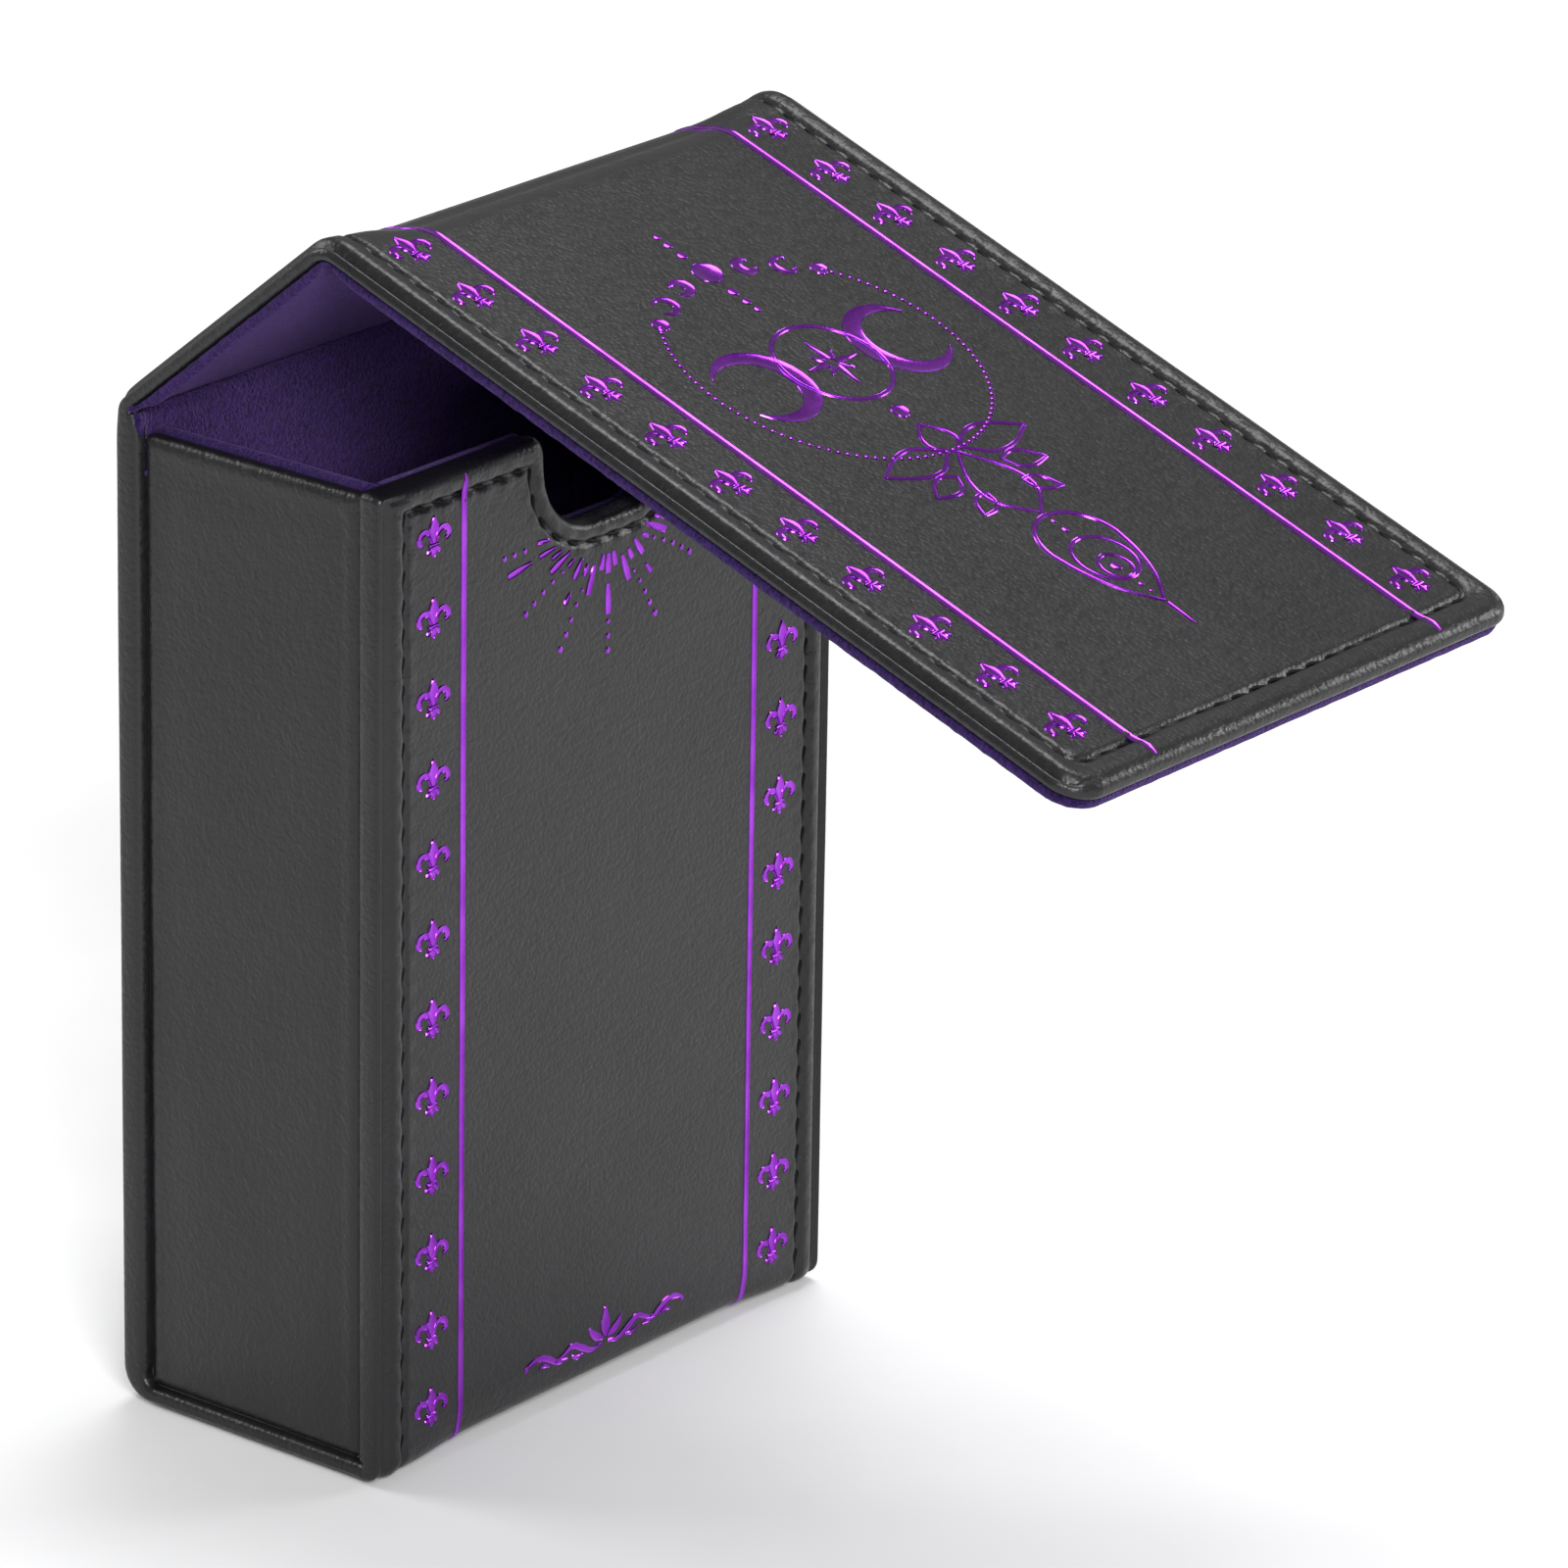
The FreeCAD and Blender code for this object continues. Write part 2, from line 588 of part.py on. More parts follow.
dip = Part.Wire([
    Part.makeLine(front_point(-notch_x, seam_top), front_point(-notch_x, notch_z + notch_r)),
    Part.Arc(front_point(-notch_x, notch_z + notch_r), front_point(-notch_x + to_arc, notch_z + to_arc),
             front_point(-notch_x + notch_r, notch_z)).toShape(),
    Part.makeLine(front_point(-notch_x + notch_r, notch_z), front_point(notch_x - notch_r, notch_z)),
    Part.Arc(front_point(notch_x - notch_r, notch_z), front_point(notch_x - to_arc, notch_z + to_arc),
             front_point(notch_x, notch_z + notch_r)).toShape(),
    Part.makeLine(front_point(notch_x, notch_z + notch_r), front_point(notch_x, seam_top)),
])
front_seams = [dip]
for sign in (-1, 1):
    side_x = sign * SEAM_X
    front_seams.append(straight(front_point(side_x, size("front_bend")), front_point(side_x, seam_top)))
    front_seams.append(straight(front_point(side_x, seam_top), front_point(sign * notch_x, seam_top)))
stitching("front_stitching", front_seams, FreeCAD.Vector(0, -1, 0))

stitching("back_stitching", [
    straight(FreeCAD.Vector(sign * SEAM_X, back_y, size("rear_bend")),
             FreeCAD.Vector(sign * SEAM_X, back_y, size("rear_height")))
    for sign in (-1, 1)
], FreeCAD.Vector(0, 1, 0))

stitching("lid_top_stitching", [
    straight(FreeCAD.Vector(sign * SEAM_X, -size("rear_gap"), size("rear_depth")),
             FreeCAD.Vector(sign * SEAM_X, size("fold_gap") - size("fold_reach"), size("rear_depth")))
    for sign in (-1, 1)
], UPRIGHT, turned_about(OPENING_AXIS, size("lid_rise"), FreeCAD.Vector(0, rear_axis_y, size("rear_height"))))

tip_seam = TIP + size("stitch_inset")
flap_y = -size("fold_depth")
flap_seams = [straight(FreeCAD.Vector(-SEAM_X, flap_y, tip_seam), FreeCAD.Vector(SEAM_X, flap_y, tip_seam))]
for sign in (-1, 1):
    flap_seams.append(straight(FreeCAD.Vector(sign * SEAM_X, flap_y, -size("fold_gap")),
                               FreeCAD.Vector(sign * SEAM_X, flap_y, tip_seam)))
stitching("flap_stitching", flap_seams, FreeCAD.Vector(0, -1, 0),
          turned_about(OPENING_AXIS, size("lid_rise") + 90 - size("fold_turn"),
                       FreeCAD.Vector(0, fold_axis_y, fold_axis_z)))

# ---------------------------------------------------------------- write the sub-parts

doc.recompute()
for thing in doc.Objects:
    if "Invalid" in thing.State or "Error" in thing.State:
        raise RuntimeError("%s failed: %s" % (thing.Name, thing.State))

os.makedirs("parts", exist_ok=True)
for node in nodes:
    shape = node.Shape
    if shape.isNull() or not shape.isValid():
        raise RuntimeError(node.Label + " has no valid shape")
    shape.exportStep(os.path.join("parts", node.Label + ".step"))
    box = shape.BoundBox
    print("%-20s solids %3d  volume %9.2f mm3  y %7.2f %7.2f  z %7.2f %7.2f" % (
        node.Label, len(shape.Solids), shape.Volume, box.YMin, box.YMax, box.ZMin, box.ZMax))
print("rear hinge axis", rear_axis_y, size("rear_height"), "fold axis", fold_axis_y, fold_axis_z)
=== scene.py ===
import json
import math

import bmesh
import bpy
from mathutils import Matrix, Vector, noise
from mathutils.kdtree import KDTree


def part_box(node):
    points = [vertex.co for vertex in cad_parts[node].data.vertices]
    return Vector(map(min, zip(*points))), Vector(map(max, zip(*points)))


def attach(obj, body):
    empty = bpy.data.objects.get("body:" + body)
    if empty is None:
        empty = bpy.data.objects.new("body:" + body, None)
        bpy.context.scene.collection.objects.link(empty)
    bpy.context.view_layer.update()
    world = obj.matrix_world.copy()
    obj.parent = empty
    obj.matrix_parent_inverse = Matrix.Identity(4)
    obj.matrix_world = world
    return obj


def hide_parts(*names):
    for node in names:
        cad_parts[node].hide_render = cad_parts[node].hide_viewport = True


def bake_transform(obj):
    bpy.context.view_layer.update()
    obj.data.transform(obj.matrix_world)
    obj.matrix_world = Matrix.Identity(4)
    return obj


# The looks of a hard-cased card deck box: one long stitched leather panel that runs up the front,
# under the base, up the back and over the top as a flap, with two plain side panels, a purple
# velvet lining and purple stamped foil. Sizes are millimetres until a corner is placed.

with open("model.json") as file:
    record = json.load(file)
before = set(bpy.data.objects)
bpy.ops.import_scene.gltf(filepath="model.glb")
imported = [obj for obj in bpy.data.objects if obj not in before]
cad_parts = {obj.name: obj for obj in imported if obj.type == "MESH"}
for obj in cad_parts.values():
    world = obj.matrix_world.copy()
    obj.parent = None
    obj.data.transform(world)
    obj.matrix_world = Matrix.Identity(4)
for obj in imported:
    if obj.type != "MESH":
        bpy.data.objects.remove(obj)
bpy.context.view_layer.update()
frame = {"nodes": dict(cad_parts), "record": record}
MM = 0.001
# Without a seed the velvet's noise would start from the clock.
noise.seed_set(7)

# ---- sizes, taken from the frame

JOINTS = {joint["name"]: Vector(joint["pos_m"]) / MM for joint in frame["record"]["behaviour"]["joints"]}
REAR_AXIS = JOINTS["rear_hinge"]
FOLD_AXIS = JOINTS["front_fold"]


def cad(node):
    """The lowest and highest corners of a CAD node, in millimetres."""
    low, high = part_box(node)
    return low / MM, high / MM


HALF_WIDTH = cad("front_leather")[1].x
FRONT_Y = cad("front_leather")[0].y
BACK_Y = cad("back_leather")[1].y
FRONT_TOP = cad("front_leather")[1].z
FRONT_BEND = cad("front_leather")[0].z
REAR_BEND = cad("back_leather")[0].z
REAR_RADIUS = BACK_Y - REAR_AXIS.y
FOLD_RADIUS = 5.0
# Degrees that the lid stands up from level, and that the leather turns at the front fold.
LID_RISE = 39.5
FOLD_TURN = 59.5
FLAP_REACH = 121.0
SEAM_INSET = 4.8
SEAM_X = HALF_WIDTH - SEAM_INSET
# The seam along the front's rim lies nearer the edge than the others.
RIM_SCALE = 0.7
RIM_SEAM = SEAM_INSET * RIM_SCALE
STITCH_PITCH = 3.7
# How thick each kind of sheet is drawn.
SKIN = 0.5
FRONT_PILE = 1.0
LID_PILE = 0.5
FOAM_THICK = 0.34
FOIL_THICK = 0.16
# How far from a corner's tip its round begins.
BOX_CORNER = 1.5
FLAP_CORNER = 5.0
VELVET_CORNER = 4.8
SIDE_CORNER = 0.9
NOTCH_HALF = 13.0
NOTCH_DEPTH = 13.3
NOTCH_CORNER = 9.5
NOTCH_SHOULDER = 1.6
NOTCH_SEAM = 2.7
FOIL_X = 28.3


def smooth(value, low, high):
    """0 below low, 1 above high, an even curve between."""
    t = min(1.0, max(0.0, (value - low) / (high - low)))
    return t * t * (3 - 2 * t)


def bump(value, reach):
    """1 at zero, falling evenly to 0 at plus and minus reach."""
    return 1 - smooth(abs(value), 0, reach)


def spaced(low, high, pitch):
    """Evenly spaced values after low, up to and with high, about pitch apart."""
    count = max(1, round(abs(high - low) / pitch))
    return [low + (high - low) * n / count for n in range(1, count + 1)]


def mirrored(left):
    """Values up to zero, and the same values with their sign turned, back to the start."""
    return left + [-x for x in reversed(left[:-1])]


# ---- the long panel, seen from the side


class Strip:
    """The panel's outer face in the YZ plane, as straight runs and bends."""

    def __init__(self, y, z, heading):
        self.place = Vector((y, z))
        self.heading = math.radians(heading)
        self.length = 0.0
        self.runs = []

    @staticmethod
    def outward(heading):
        return Vector((math.sin(heading), -math.cos(heading)))

    def straight(self, length):
        self.runs.append((self.length, self.place.copy(), self.heading, None))
        self.place += Vector((math.cos(self.heading), math.sin(self.heading))) * length
        self.length += length
        return self.length

    def bend(self, radius, degrees):
        self.runs.append((self.length, self.place.copy(), self.heading, radius))
        turn = math.radians(degrees)
        centre = self.place - self.outward(self.heading) * radius
        self.heading += turn
        self.place = centre + self.outward(self.heading) * radius
        self.length += radius * turn
        return self.length

    def at(self, s):
        """The point at distance s along the face, and the direction outwards there."""
        start, place, heading, radius = [run for run in self.runs if run[0] <= s or run[0] == 0][-1]
        if radius is None:
            along = Vector((math.cos(heading), math.sin(heading)))
            return place + along * (s - start), self.outward(heading)
        centre = place - self.outward(heading) * radius
        outward = self.outward(heading + (s - start) / radius)
        return centre + outward * radius, outward


strip = Strip(FRONT_Y, FRONT_TOP, -90)
S_FRONT = strip.straight(FRONT_TOP - FRONT_BEND)
S_BASE = strip.bend(FRONT_BEND, 90)
S_BASE_END = strip.straight(BACK_Y - FRONT_Y - FRONT_BEND - REAR_BEND)
S_BACK = strip.bend(REAR_BEND, 90)
S_HINGE = strip.straight(REAR_AXIS.z - REAR_BEND)
S_LID = strip.bend(REAR_RADIUS, 90 - LID_RISE)
LID_RUN = (FOLD_AXIS - REAR_AXIS).dot(
    Vector((0, -math.cos(math.radians(LID_RISE)), math.sin(math.radians(LID_RISE)))))
S_FOLD = strip.straight(LID_RUN)
S_FLAP = strip.bend(FOLD_RADIUS, FOLD_TURN)
S_TIP = strip.straight(FLAP_REACH)
S_BASE_MID = (S_BASE + S_BASE_END) / 2
S_LID_MID = (S_LID + S_FOLD) / 2


def on_strip(x, s, height):
    """A point at x across and s along the long panel, height above its outer face, in metres."""
    place, outward = strip.at(s)
    place = place + outward * height
    return Vector((x, place.x, place.y)) * MM


# ---- edges that roll under


def edge_curve(points):
    """A smooth curve through a rolled edge's (inset, height) points, from its tucked end."""
    knots = [Vector(point) for point in points]
    knots = [2 * knots[0] - knots[1]] + knots + [2 * knots[-1] - knots[-2]]

    def at(depth):
        n = min(int(depth), len(points) - 2)
        t = depth - n
        a, b, c, d = knots[n:n + 4]
        return 0.5 * (2 * b + (c - a) * t + (2 * a - 5 * b + 4 * c - d) * t * t
                      + (3 * b - a - 3 * c + d) * t ** 3)
    return at


# A bead over the board's edge, a crease beside it, and a soft ridge up to the seam.
BOX_EDGE = edge_curve([
    (1.6, -3.8), (0.7, -3.6), (0.3, -3.3), (0.08, -2.7), (0.0, -1.7), (0.02, -0.8), (0.18, -0.2),
    (0.56, -0.02), (1.05, -0.58), (1.6, -0.34), (2.4, 0.24), (3.5, 0.36), (SEAM_INSET, 0.0)])
FLAP_EDGE = edge_curve([
    (2.4, -2.1), (1.0, -2.06), (0.28, -1.85), (0.0, -1.4), (0.05, -0.95), (0.3, -0.5), (0.6, -0.42),
    (0.95, -0.78), (1.3, -0.25), (1.75, 0.3), (2.4, 0.5), (3.4, 0.38), (SEAM_INSET, 0.0)])
# The flap's tip rolls over in one wide round.
TIP_EDGE = edge_curve([
    (2.4, -2.1), (1.0, -2.06), (0.28, -1.85), (0.0, -1.4), (0.05, -0.95), (0.22, -0.5), (0.5, -0.15),
    (0.85, 0.12), (1.3, 0.32), (1.9, 0.44), (2.7, 0.42), (3.7, 0.26), (SEAM_INSET, 0.0)])
# The front's rim and the notch roll over in one round too, down to the velvet behind.
RIM_EDGE = edge_curve([
    (1.6, -3.8), (0.75, -3.62), (0.25, -3.2), (0.02, -2.4), (0.0, -1.4), (0.12, -0.8), (0.42, -0.3),
    (0.85, 0.0), (1.35, 0.18), (1.95, 0.28), (2.75, 0.28), (3.7, 0.18), (SEAM_INSET, 0.0)])
# The same number of steps lets one edge turn gradually into another.
EDGE_STEPS = [n / 2 for n in range(23)] + [11.3, 11.55, 11.78, 12]
SIDE_EDGE = edge_curve([
    (1.1, -2.2), (0.4, -2.1), (0.06, -1.75), (0.0, -1.2), (0.07, -0.74), (0.34, -0.3), (0.85, -0.02),
    (1.7, 0.12), (3.0, 0.0)])
SIDE_STEPS = [n / 2 for n in range(17)]
# The velvet stands thickest in a soft lip round its own edge.
VELVET_FACE = -3.2
VELVET_EDGE = edge_curve([
    (0.9, -2.15), (0.3, -2.2), (0.06, -2.5), (0.0, -2.9), (0.1, -3.3), (0.45, -3.58), (0.95, -3.6),
    (1.6, -3.36), (2.6, VELVET_FACE), (4.4, VELVET_FACE)])
VELVET_STEPS = [n / 2 for n in range(19)]


def crossing(edge, column, row, corner, flat=0.0, end_scale=1.0, end_edge=None):
    """Where a line along the panel meets a line across it: x, s and the rolled edge's height.

    Each line is (edge, step of the rolled edge, position), with edge 0 for a plain line. Near a
    corner both roll, and the outer step gives the height. Plain lines meet at the flat height."""
    side, side_step, x = column
    end, end_step, s = row
    outer = min(side_step, end_step) if side and end else side_step if side else end_step
    if not side and not end:
        return x, s, flat
    end_edge = end_edge or edge
    towards_end = smooth(side_step - end_step, -6, 6) if side and end else float(bool(end))
    inset, height = edge(outer).lerp(end_edge(outer), towards_end)

    def inwards(curve, step):
        return max(curve(step)[0], inset + 0.12 * (step - outer))

    from_side = inwards(edge, side_step) if side else None
    from_end = inwards(end_edge, end_step) if end else None
    if side and end and from_side < corner and from_end < corner:
        to_side, to_end = corner - from_side, corner - from_end
        shrink = max(to_side, to_end) / math.hypot(to_side, to_end)
        from_side, from_end = corner - to_side * shrink, corner - to_end * shrink
    if side:
        x -= side * from_side
    if end:
        s -= end * from_end * end_scale
    return x, s, height


def columns_of(half, steps, inner):
    """The lines along a panel: a rolled edge, the inner lines, and the other rolled edge."""
    left = [(-1, step, -half) for step in steps]
    right = [(1, step, half) for step in reversed(steps)]
    return left + [(0, 0, x) for x in inner] + right


# ---- seams


class Seams:
    """Rows of stitches along lines of points (x, s) on the leather."""

    FINE = 0.1
    BLEED = 3.0
    PULL, PULL_WIDTH = 0.66, 0.42
    PUCKER_AWAY, PUCKER_WIDTH = 0.9, 0.55

    def __init__(self, lines):
        self.stitches = []
        samples = []
        for line in lines:
            path = [Vector(line[0])]
            for corner in line[1:]:
                corner = Vector(corner)
                start = path[-1].copy()
                path += [start.lerp(corner, t / (corner - start).length)
                         for t in spaced(0, (corner - start).length, self.FINE)]
            count = round(len(path) * self.FINE / STITCH_PITCH)
            per_stitch = (len(path) - 1) / count
            samples += [(point, n / per_stitch) for n, point in enumerate(path)]
            for number in range(count):
                middle = round((number + 0.5) * per_stitch)
                before, after = path[max(0, middle - 8)], path[min(len(path) - 1, middle + 8)]
                self.stitches.append((path[middle], (after - before).normalized()))
        self.phases = [phase for point, phase in samples]
        self.tree = KDTree(len(samples))
        for n, (point, phase) in enumerate(samples):
            self.tree.insert(point.to_3d(), n)
        self.tree.balance()

    def groove(self, x, s):
        """How far the stitches pull the leather down, and how far it puckers up beside them."""
        point, n, away = self.tree.find((x, s, 0))
        if away > self.BLEED:
            return 0.0
        wave = math.cos(2 * math.pi * self.phases[n])
        pulled = -self.PULL * math.exp(-(away / self.PULL_WIDTH) ** 2) * (0.72 - 0.28 * wave)
        pucker = math.exp(-((away - self.PUCKER_AWAY) / self.PUCKER_WIDTH) ** 2)
        puckered = pucker * (0.05 + 0.10 * wave)
        return pulled + puckered


# How the bends sag between the panel's stiff edges: where, how deep, and how far along.
SAGS = [
    ((S_FOLD + S_FLAP) / 2, 1.7, 5.6), ((S_FRONT + S_BASE) / 2, 0.8, 6),
    ((S_BASE_END + S_BACK) / 2, 0.7, 7), ((S_HINGE + S_LID) / 2, 0.5, 4)]


def relief(seams, x, s, level=False):
    """The height of the leather inside its rolled edges: seams, bends that sag, and soft waves.

    A level height passes straight over the seams."""
    middle = 1 - smooth(abs(x), 25, 38)
    sag = sum(deep * bump(s - place, reach) for place, deep, reach in SAGS)
    lifted = 0.5 * smooth(s, S_FRONT + 1, S_BASE + 1) * (1 - smooth(s, S_BASE_END - 1, S_BACK - 2))
    waves = 0.07 * noise.noise(Vector((x, s, 3.0)) / 22)
    return (0 if level else seams.groove(x, s)) - middle * sag - lifted + waves


# ---- the thumb notch


def rounded_u(half, depth, corner, shoulder=0, top=None, first=0):
    """Points from the top of the notch's left side down to its middle."""
    left = []
    if shoulder:
        for turn in range(0, 91, 15):
            angle = math.radians(turn)
            left.append((-half - shoulder + shoulder * math.sin(angle), shoulder * (1 - math.cos(angle))))
    elif top is not None:
        left.append((-half, top))
    for turn in range(16):
        angle = math.radians(first + (90 - first) * turn / 15)
        left.append((-half + corner - corner * math.cos(angle), depth - corner + corner * math.sin(angle)))
    left.append((0.0, depth))
    return [Vector(point) for point in left]


def along(points, share):
    """The point a share of the way along a line of points."""
    lengths = [(b - a).length for a, b in zip(points, points[1:])]
    target = share * sum(lengths)
    for a, b, length in zip(points, points[1:], lengths):
        if target <= length or b is points[-1]:
            return a.lerp(b, min(1.0, target / length) if length else 0)
        target -= length


NOTCH_RIM = rounded_u(NOTCH_HALF, NOTCH_DEPTH, NOTCH_CORNER, shoulder=NOTCH_SHOULDER)
NOTCH_STITCHES = rounded_u(NOTCH_HALF + NOTCH_SEAM, NOTCH_DEPTH + NOTCH_SEAM, NOTCH_CORNER + NOTCH_SEAM,
                           top=RIM_SEAM)
NOTCH_OUTER = rounded_u(20.3, 20.6, 16.8, first=14.5)
# Curves that ring the notch, each with how far below the rim its plain ends lie.
NOTCH_LEVELS = [(0.0, NOTCH_RIM), (RIM_SEAM, NOTCH_STITCHES), (NOTCH_OUTER[0].y, NOTCH_OUTER), (30.0, None)]
# Lines within the first bend into the notch; beyond the second they stay straight.
NOTCH_REACH = 24.0
PLAIN_REACH = 36.0


def level_point(level, x):
    """Where the line at x crosses one of the curves that ring the notch."""
    drop, curve = level
    side = 1 if x > 0 else -1
    x = abs(x)
    if curve is None or x >= PLAIN_REACH:
        return Vector((side * x, drop))
    if x <= NOTCH_REACH:
        point = along(curve, 1 - x / NOTCH_REACH)
        return Vector((-side * point.x, point.y))
    share = (x - NOTCH_REACH) / (PLAIN_REACH - NOTCH_REACH)
    start = curve[0]
    return Vector((side * (-start.x + (PLAIN_REACH + start.x) * share), start.y + (drop - start.y) * share))


def round_notch(x, s):
    """Bends the front panel's straight grid round the notch."""
    if abs(x) >= PLAIN_REACH or s >= NOTCH_LEVELS[-1][0]:
        return x, s
    for upper, lower in zip(NOTCH_LEVELS, NOTCH_LEVELS[1:]):
        if s <= lower[0]:
            share = (s - upper[0]) / (lower[0] - upper[0])
            point = level_point(upper, x).lerp(level_point(lower, x), share)
            return point.x, point.y


# ---- making pieces


def grid(columns, rows, where, inside=False):
    """A sheet of faces with a corner wherever a column meets a row; inside turns it over."""
    sheet = bmesh.new()
    across, down = len(columns) - 1, len(rows) - 1
    made = bmesh.ops.create_grid(sheet, x_segments=across, y_segments=down, size=1.0)
    for vert in made["verts"]:
        i = round((vert.co.x + 1) / 2 * across)
        k = round((1 - vert.co.y) / 2 * down)
        vert.co = where(columns[i], rows[k])
    if inside:
        bmesh.ops.reverse_faces(sheet, faces=sheet.faces[:])
    return sheet


def placed(name, data):
    """A new object in the scene that shows the data."""
    made = bpy.data.objects.new(name, data)
    bpy.context.scene.collection.objects.link(made)
    return made


# A steeper angle between two faces keeps a crisp edge.
CRISP = math.radians(75)


def finish(sheet, name, material, nodes=(), body=None, bend=None, thick=None):
    """Turns a mesh into a piece that rides on a body, or that stays where it is built when a bend is given.

    A sheet gets its thickness inwards, with crisp cut edges."""
    if thick:
        sheet.normal_update()
        outer = sheet.faces[:]
        copied = bmesh.ops.extrude_face_region(sheet, geom=outer, use_keep_orig=True)["geom"]
        for vert in copied:
            if isinstance(vert, bmesh.types.BMVert):
                vert.co -= vert.normal * thick * MM
        inner = [part for part in copied if isinstance(part, bmesh.types.BMFace)]
        bmesh.ops.reverse_faces(sheet, faces=inner)
        bmesh.ops.recalc_face_normals(sheet, faces=sheet.faces[:])
        for edge in sheet.edges:
            edge.smooth = edge.calc_face_angle(0) < CRISP
    data = bpy.data.meshes.new(name)
    sheet.to_mesh(data)
    sheet.free()
    data.polygons.foreach_set("use_smooth", [True] * len(data.polygons))
    data.materials.append(material)
    piece = placed(name, data)
    if bend:
        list(bend[:2])
        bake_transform(piece)
    else:
        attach(piece, body)
    if nodes:
        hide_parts(*nodes)
    return piece


def bend_line(axis, heading, before, after):
    """Where a bend starts and ends, measured past a joint's axis along the middle of its turn."""
    direction = Vector((0, math.cos(math.radians(heading)), math.sin(math.radians(heading))))
    return axis - direction * before, axis + direction * after


REAR_BLEND = ("box", "lid_top", *bend_line(REAR_AXIS, 90 + (90 - LID_RISE) / 2, 1.4, 3.0))
FOLD_BLEND = ("lid_top", "flap", *bend_line(FOLD_AXIS, 180 - LID_RISE + FOLD_TURN / 2, 2.8, 2.8))

# ---- materials


def linear(code):
    """An sRGB hex colour as the linear colour that a shader takes."""
    parts = [int(code[n:n + 2], 16) / 255 for n in (1, 3, 5)]
    return [part / 12.92 if part <= 0.04045 else ((part + 0.055) / 1.055) ** 2.4 for part in parts] + [1.0]


def per(size):
    """The texture scale that gives features of a size in millimetres."""
    return 1 / (size * MM)


def feed(made, feeds):
    """Sets a node's inputs to values, or links them to outputs."""
    for name, value in feeds.items():
        if isinstance(value, bpy.types.NodeSocket):
            made.id_data.links.new(value, made.inputs[name])
        else:
            made.inputs[name].default_value = value


def node(tree, kind, feeds=None, **settings):
    """Adds a node with its settings, and feeds its inputs."""
    made = tree.nodes.new(kind)
    for name, value in settings.items():
        setattr(made, name, value)
    feed(made, feeds or {})
    return made


def new_material(name):
    """A material with its shader, and the coordinates of the piece's own space."""
    material = bpy.data.materials.new(name)
    material.use_nodes = True
    tree = material.node_tree
    shader = tree.nodes["Principled BSDF"]
    space = node(tree, "ShaderNodeTexCoord").outputs["Object"]
    return material, tree, shader, space


def between(tree, factor, low, high):
    """A colour that runs from low to high with a factor."""
    ramp = node(tree, "ShaderNodeValToRGB", {"Fac": factor})
    ramp.color_ramp.elements[0].position = 0.35
    ramp.color_ramp.elements[1].position = 0.65
    ramp.color_ramp.elements[0].color = linear(low)
    ramp.color_ramp.elements[1].color = linear(high)
    return ramp.outputs["Color"]


def spread(tree, factor, low, high):
    """A number that runs from low to high as the factor runs from 0.3 to 0.7."""
    return node(tree, "ShaderNodeMapRange", {
        "Value": factor, "From Min": 0.3, "From Max": 0.7, "To Min": low, "To Max": high}).outputs["Result"]


def leather(name, dark, light, stretch):
    """Embossed PU leather: a matt skin whose fine pebble breaks up a soft shine.

    The grain is 0.5 mm pebbles crossed by wrinkles that run long in one direction."""
    material, tree, shader, space = new_material(name)
    wrinkled = node(tree, "ShaderNodeMapping", {"Vector": space, "Scale": stretch})
    pebble = node(tree, "ShaderNodeTexVoronoi", {"Vector": space, "Scale": per(0.55)}, feature="SMOOTH_F1")
    wrinkle = node(tree, "ShaderNodeTexNoise", {
        "Vector": wrinkled.outputs["Vector"], "Scale": per(0.9), "Detail": 4.0, "Distortion": 0.4})
    cloud = node(tree, "ShaderNodeTexNoise", {"Vector": space, "Scale": per(18), "Detail": 3.0})
    first = node(tree, "ShaderNodeBump", {
        "Height": pebble.outputs["Distance"], "Strength": 0.75, "Distance": 0.08 * MM}, invert=True)
    second = node(tree, "ShaderNodeBump", {
        "Height": wrinkle.outputs["Fac"], "Normal": first.outputs["Normal"],
        "Strength": 0.8, "Distance": 0.12 * MM})
    feed(shader, {
        "Base Color": between(tree, cloud.outputs["Fac"], dark, light),
        "Roughness": spread(tree, wrinkle.outputs["Fac"], 0.31, 0.43),
        "Normal": second.outputs["Normal"]})
    shader.inputs["Specular IOR Level"].default_value = 0.42
    return material


def velvet():
    """Short-pile polyester velvet: no shine, a pale bloom at glancing angles, and a speckled nap."""
    material, tree, shader, space = new_material("purple_velvet")
    fibre = node(tree, "ShaderNodeTexNoise", {
        "Vector": space, "Scale": per(0.55), "Detail": 4.0, "Roughness": 0.7})
    nap = node(tree, "ShaderNodeTexNoise", {"Vector": space, "Scale": per(9), "Detail": 2.0})
    # Inputs 6 and 7 are the node's two colours, and output 2 is their mix.
    mixed = node(tree, "ShaderNodeMix", {
        "Factor": 0.35,
        6: between(tree, fibre.outputs["Fac"], "#090314", "#3a2368"),
        7: between(tree, nap.outputs["Fac"], "#0c051a", "#1e1133")}, data_type="RGBA")
    raised = node(tree, "ShaderNodeBump", {
        "Height": fibre.outputs["Fac"], "Strength": 1.0, "Distance": 0.45 * MM})
    feed(shader, {"Base Color": mixed.outputs[2], "Normal": raised.outputs["Normal"]})
    shader.inputs["Roughness"].default_value = 1.0
    shader.inputs["Specular IOR Level"].default_value = 0.1
    shader.inputs["Sheen Weight"].default_value = 0.35
    shader.inputs["Sheen Roughness"].default_value = 0.45
    shader.inputs["Sheen Tint"].default_value = linear("#b393e6")
    return material


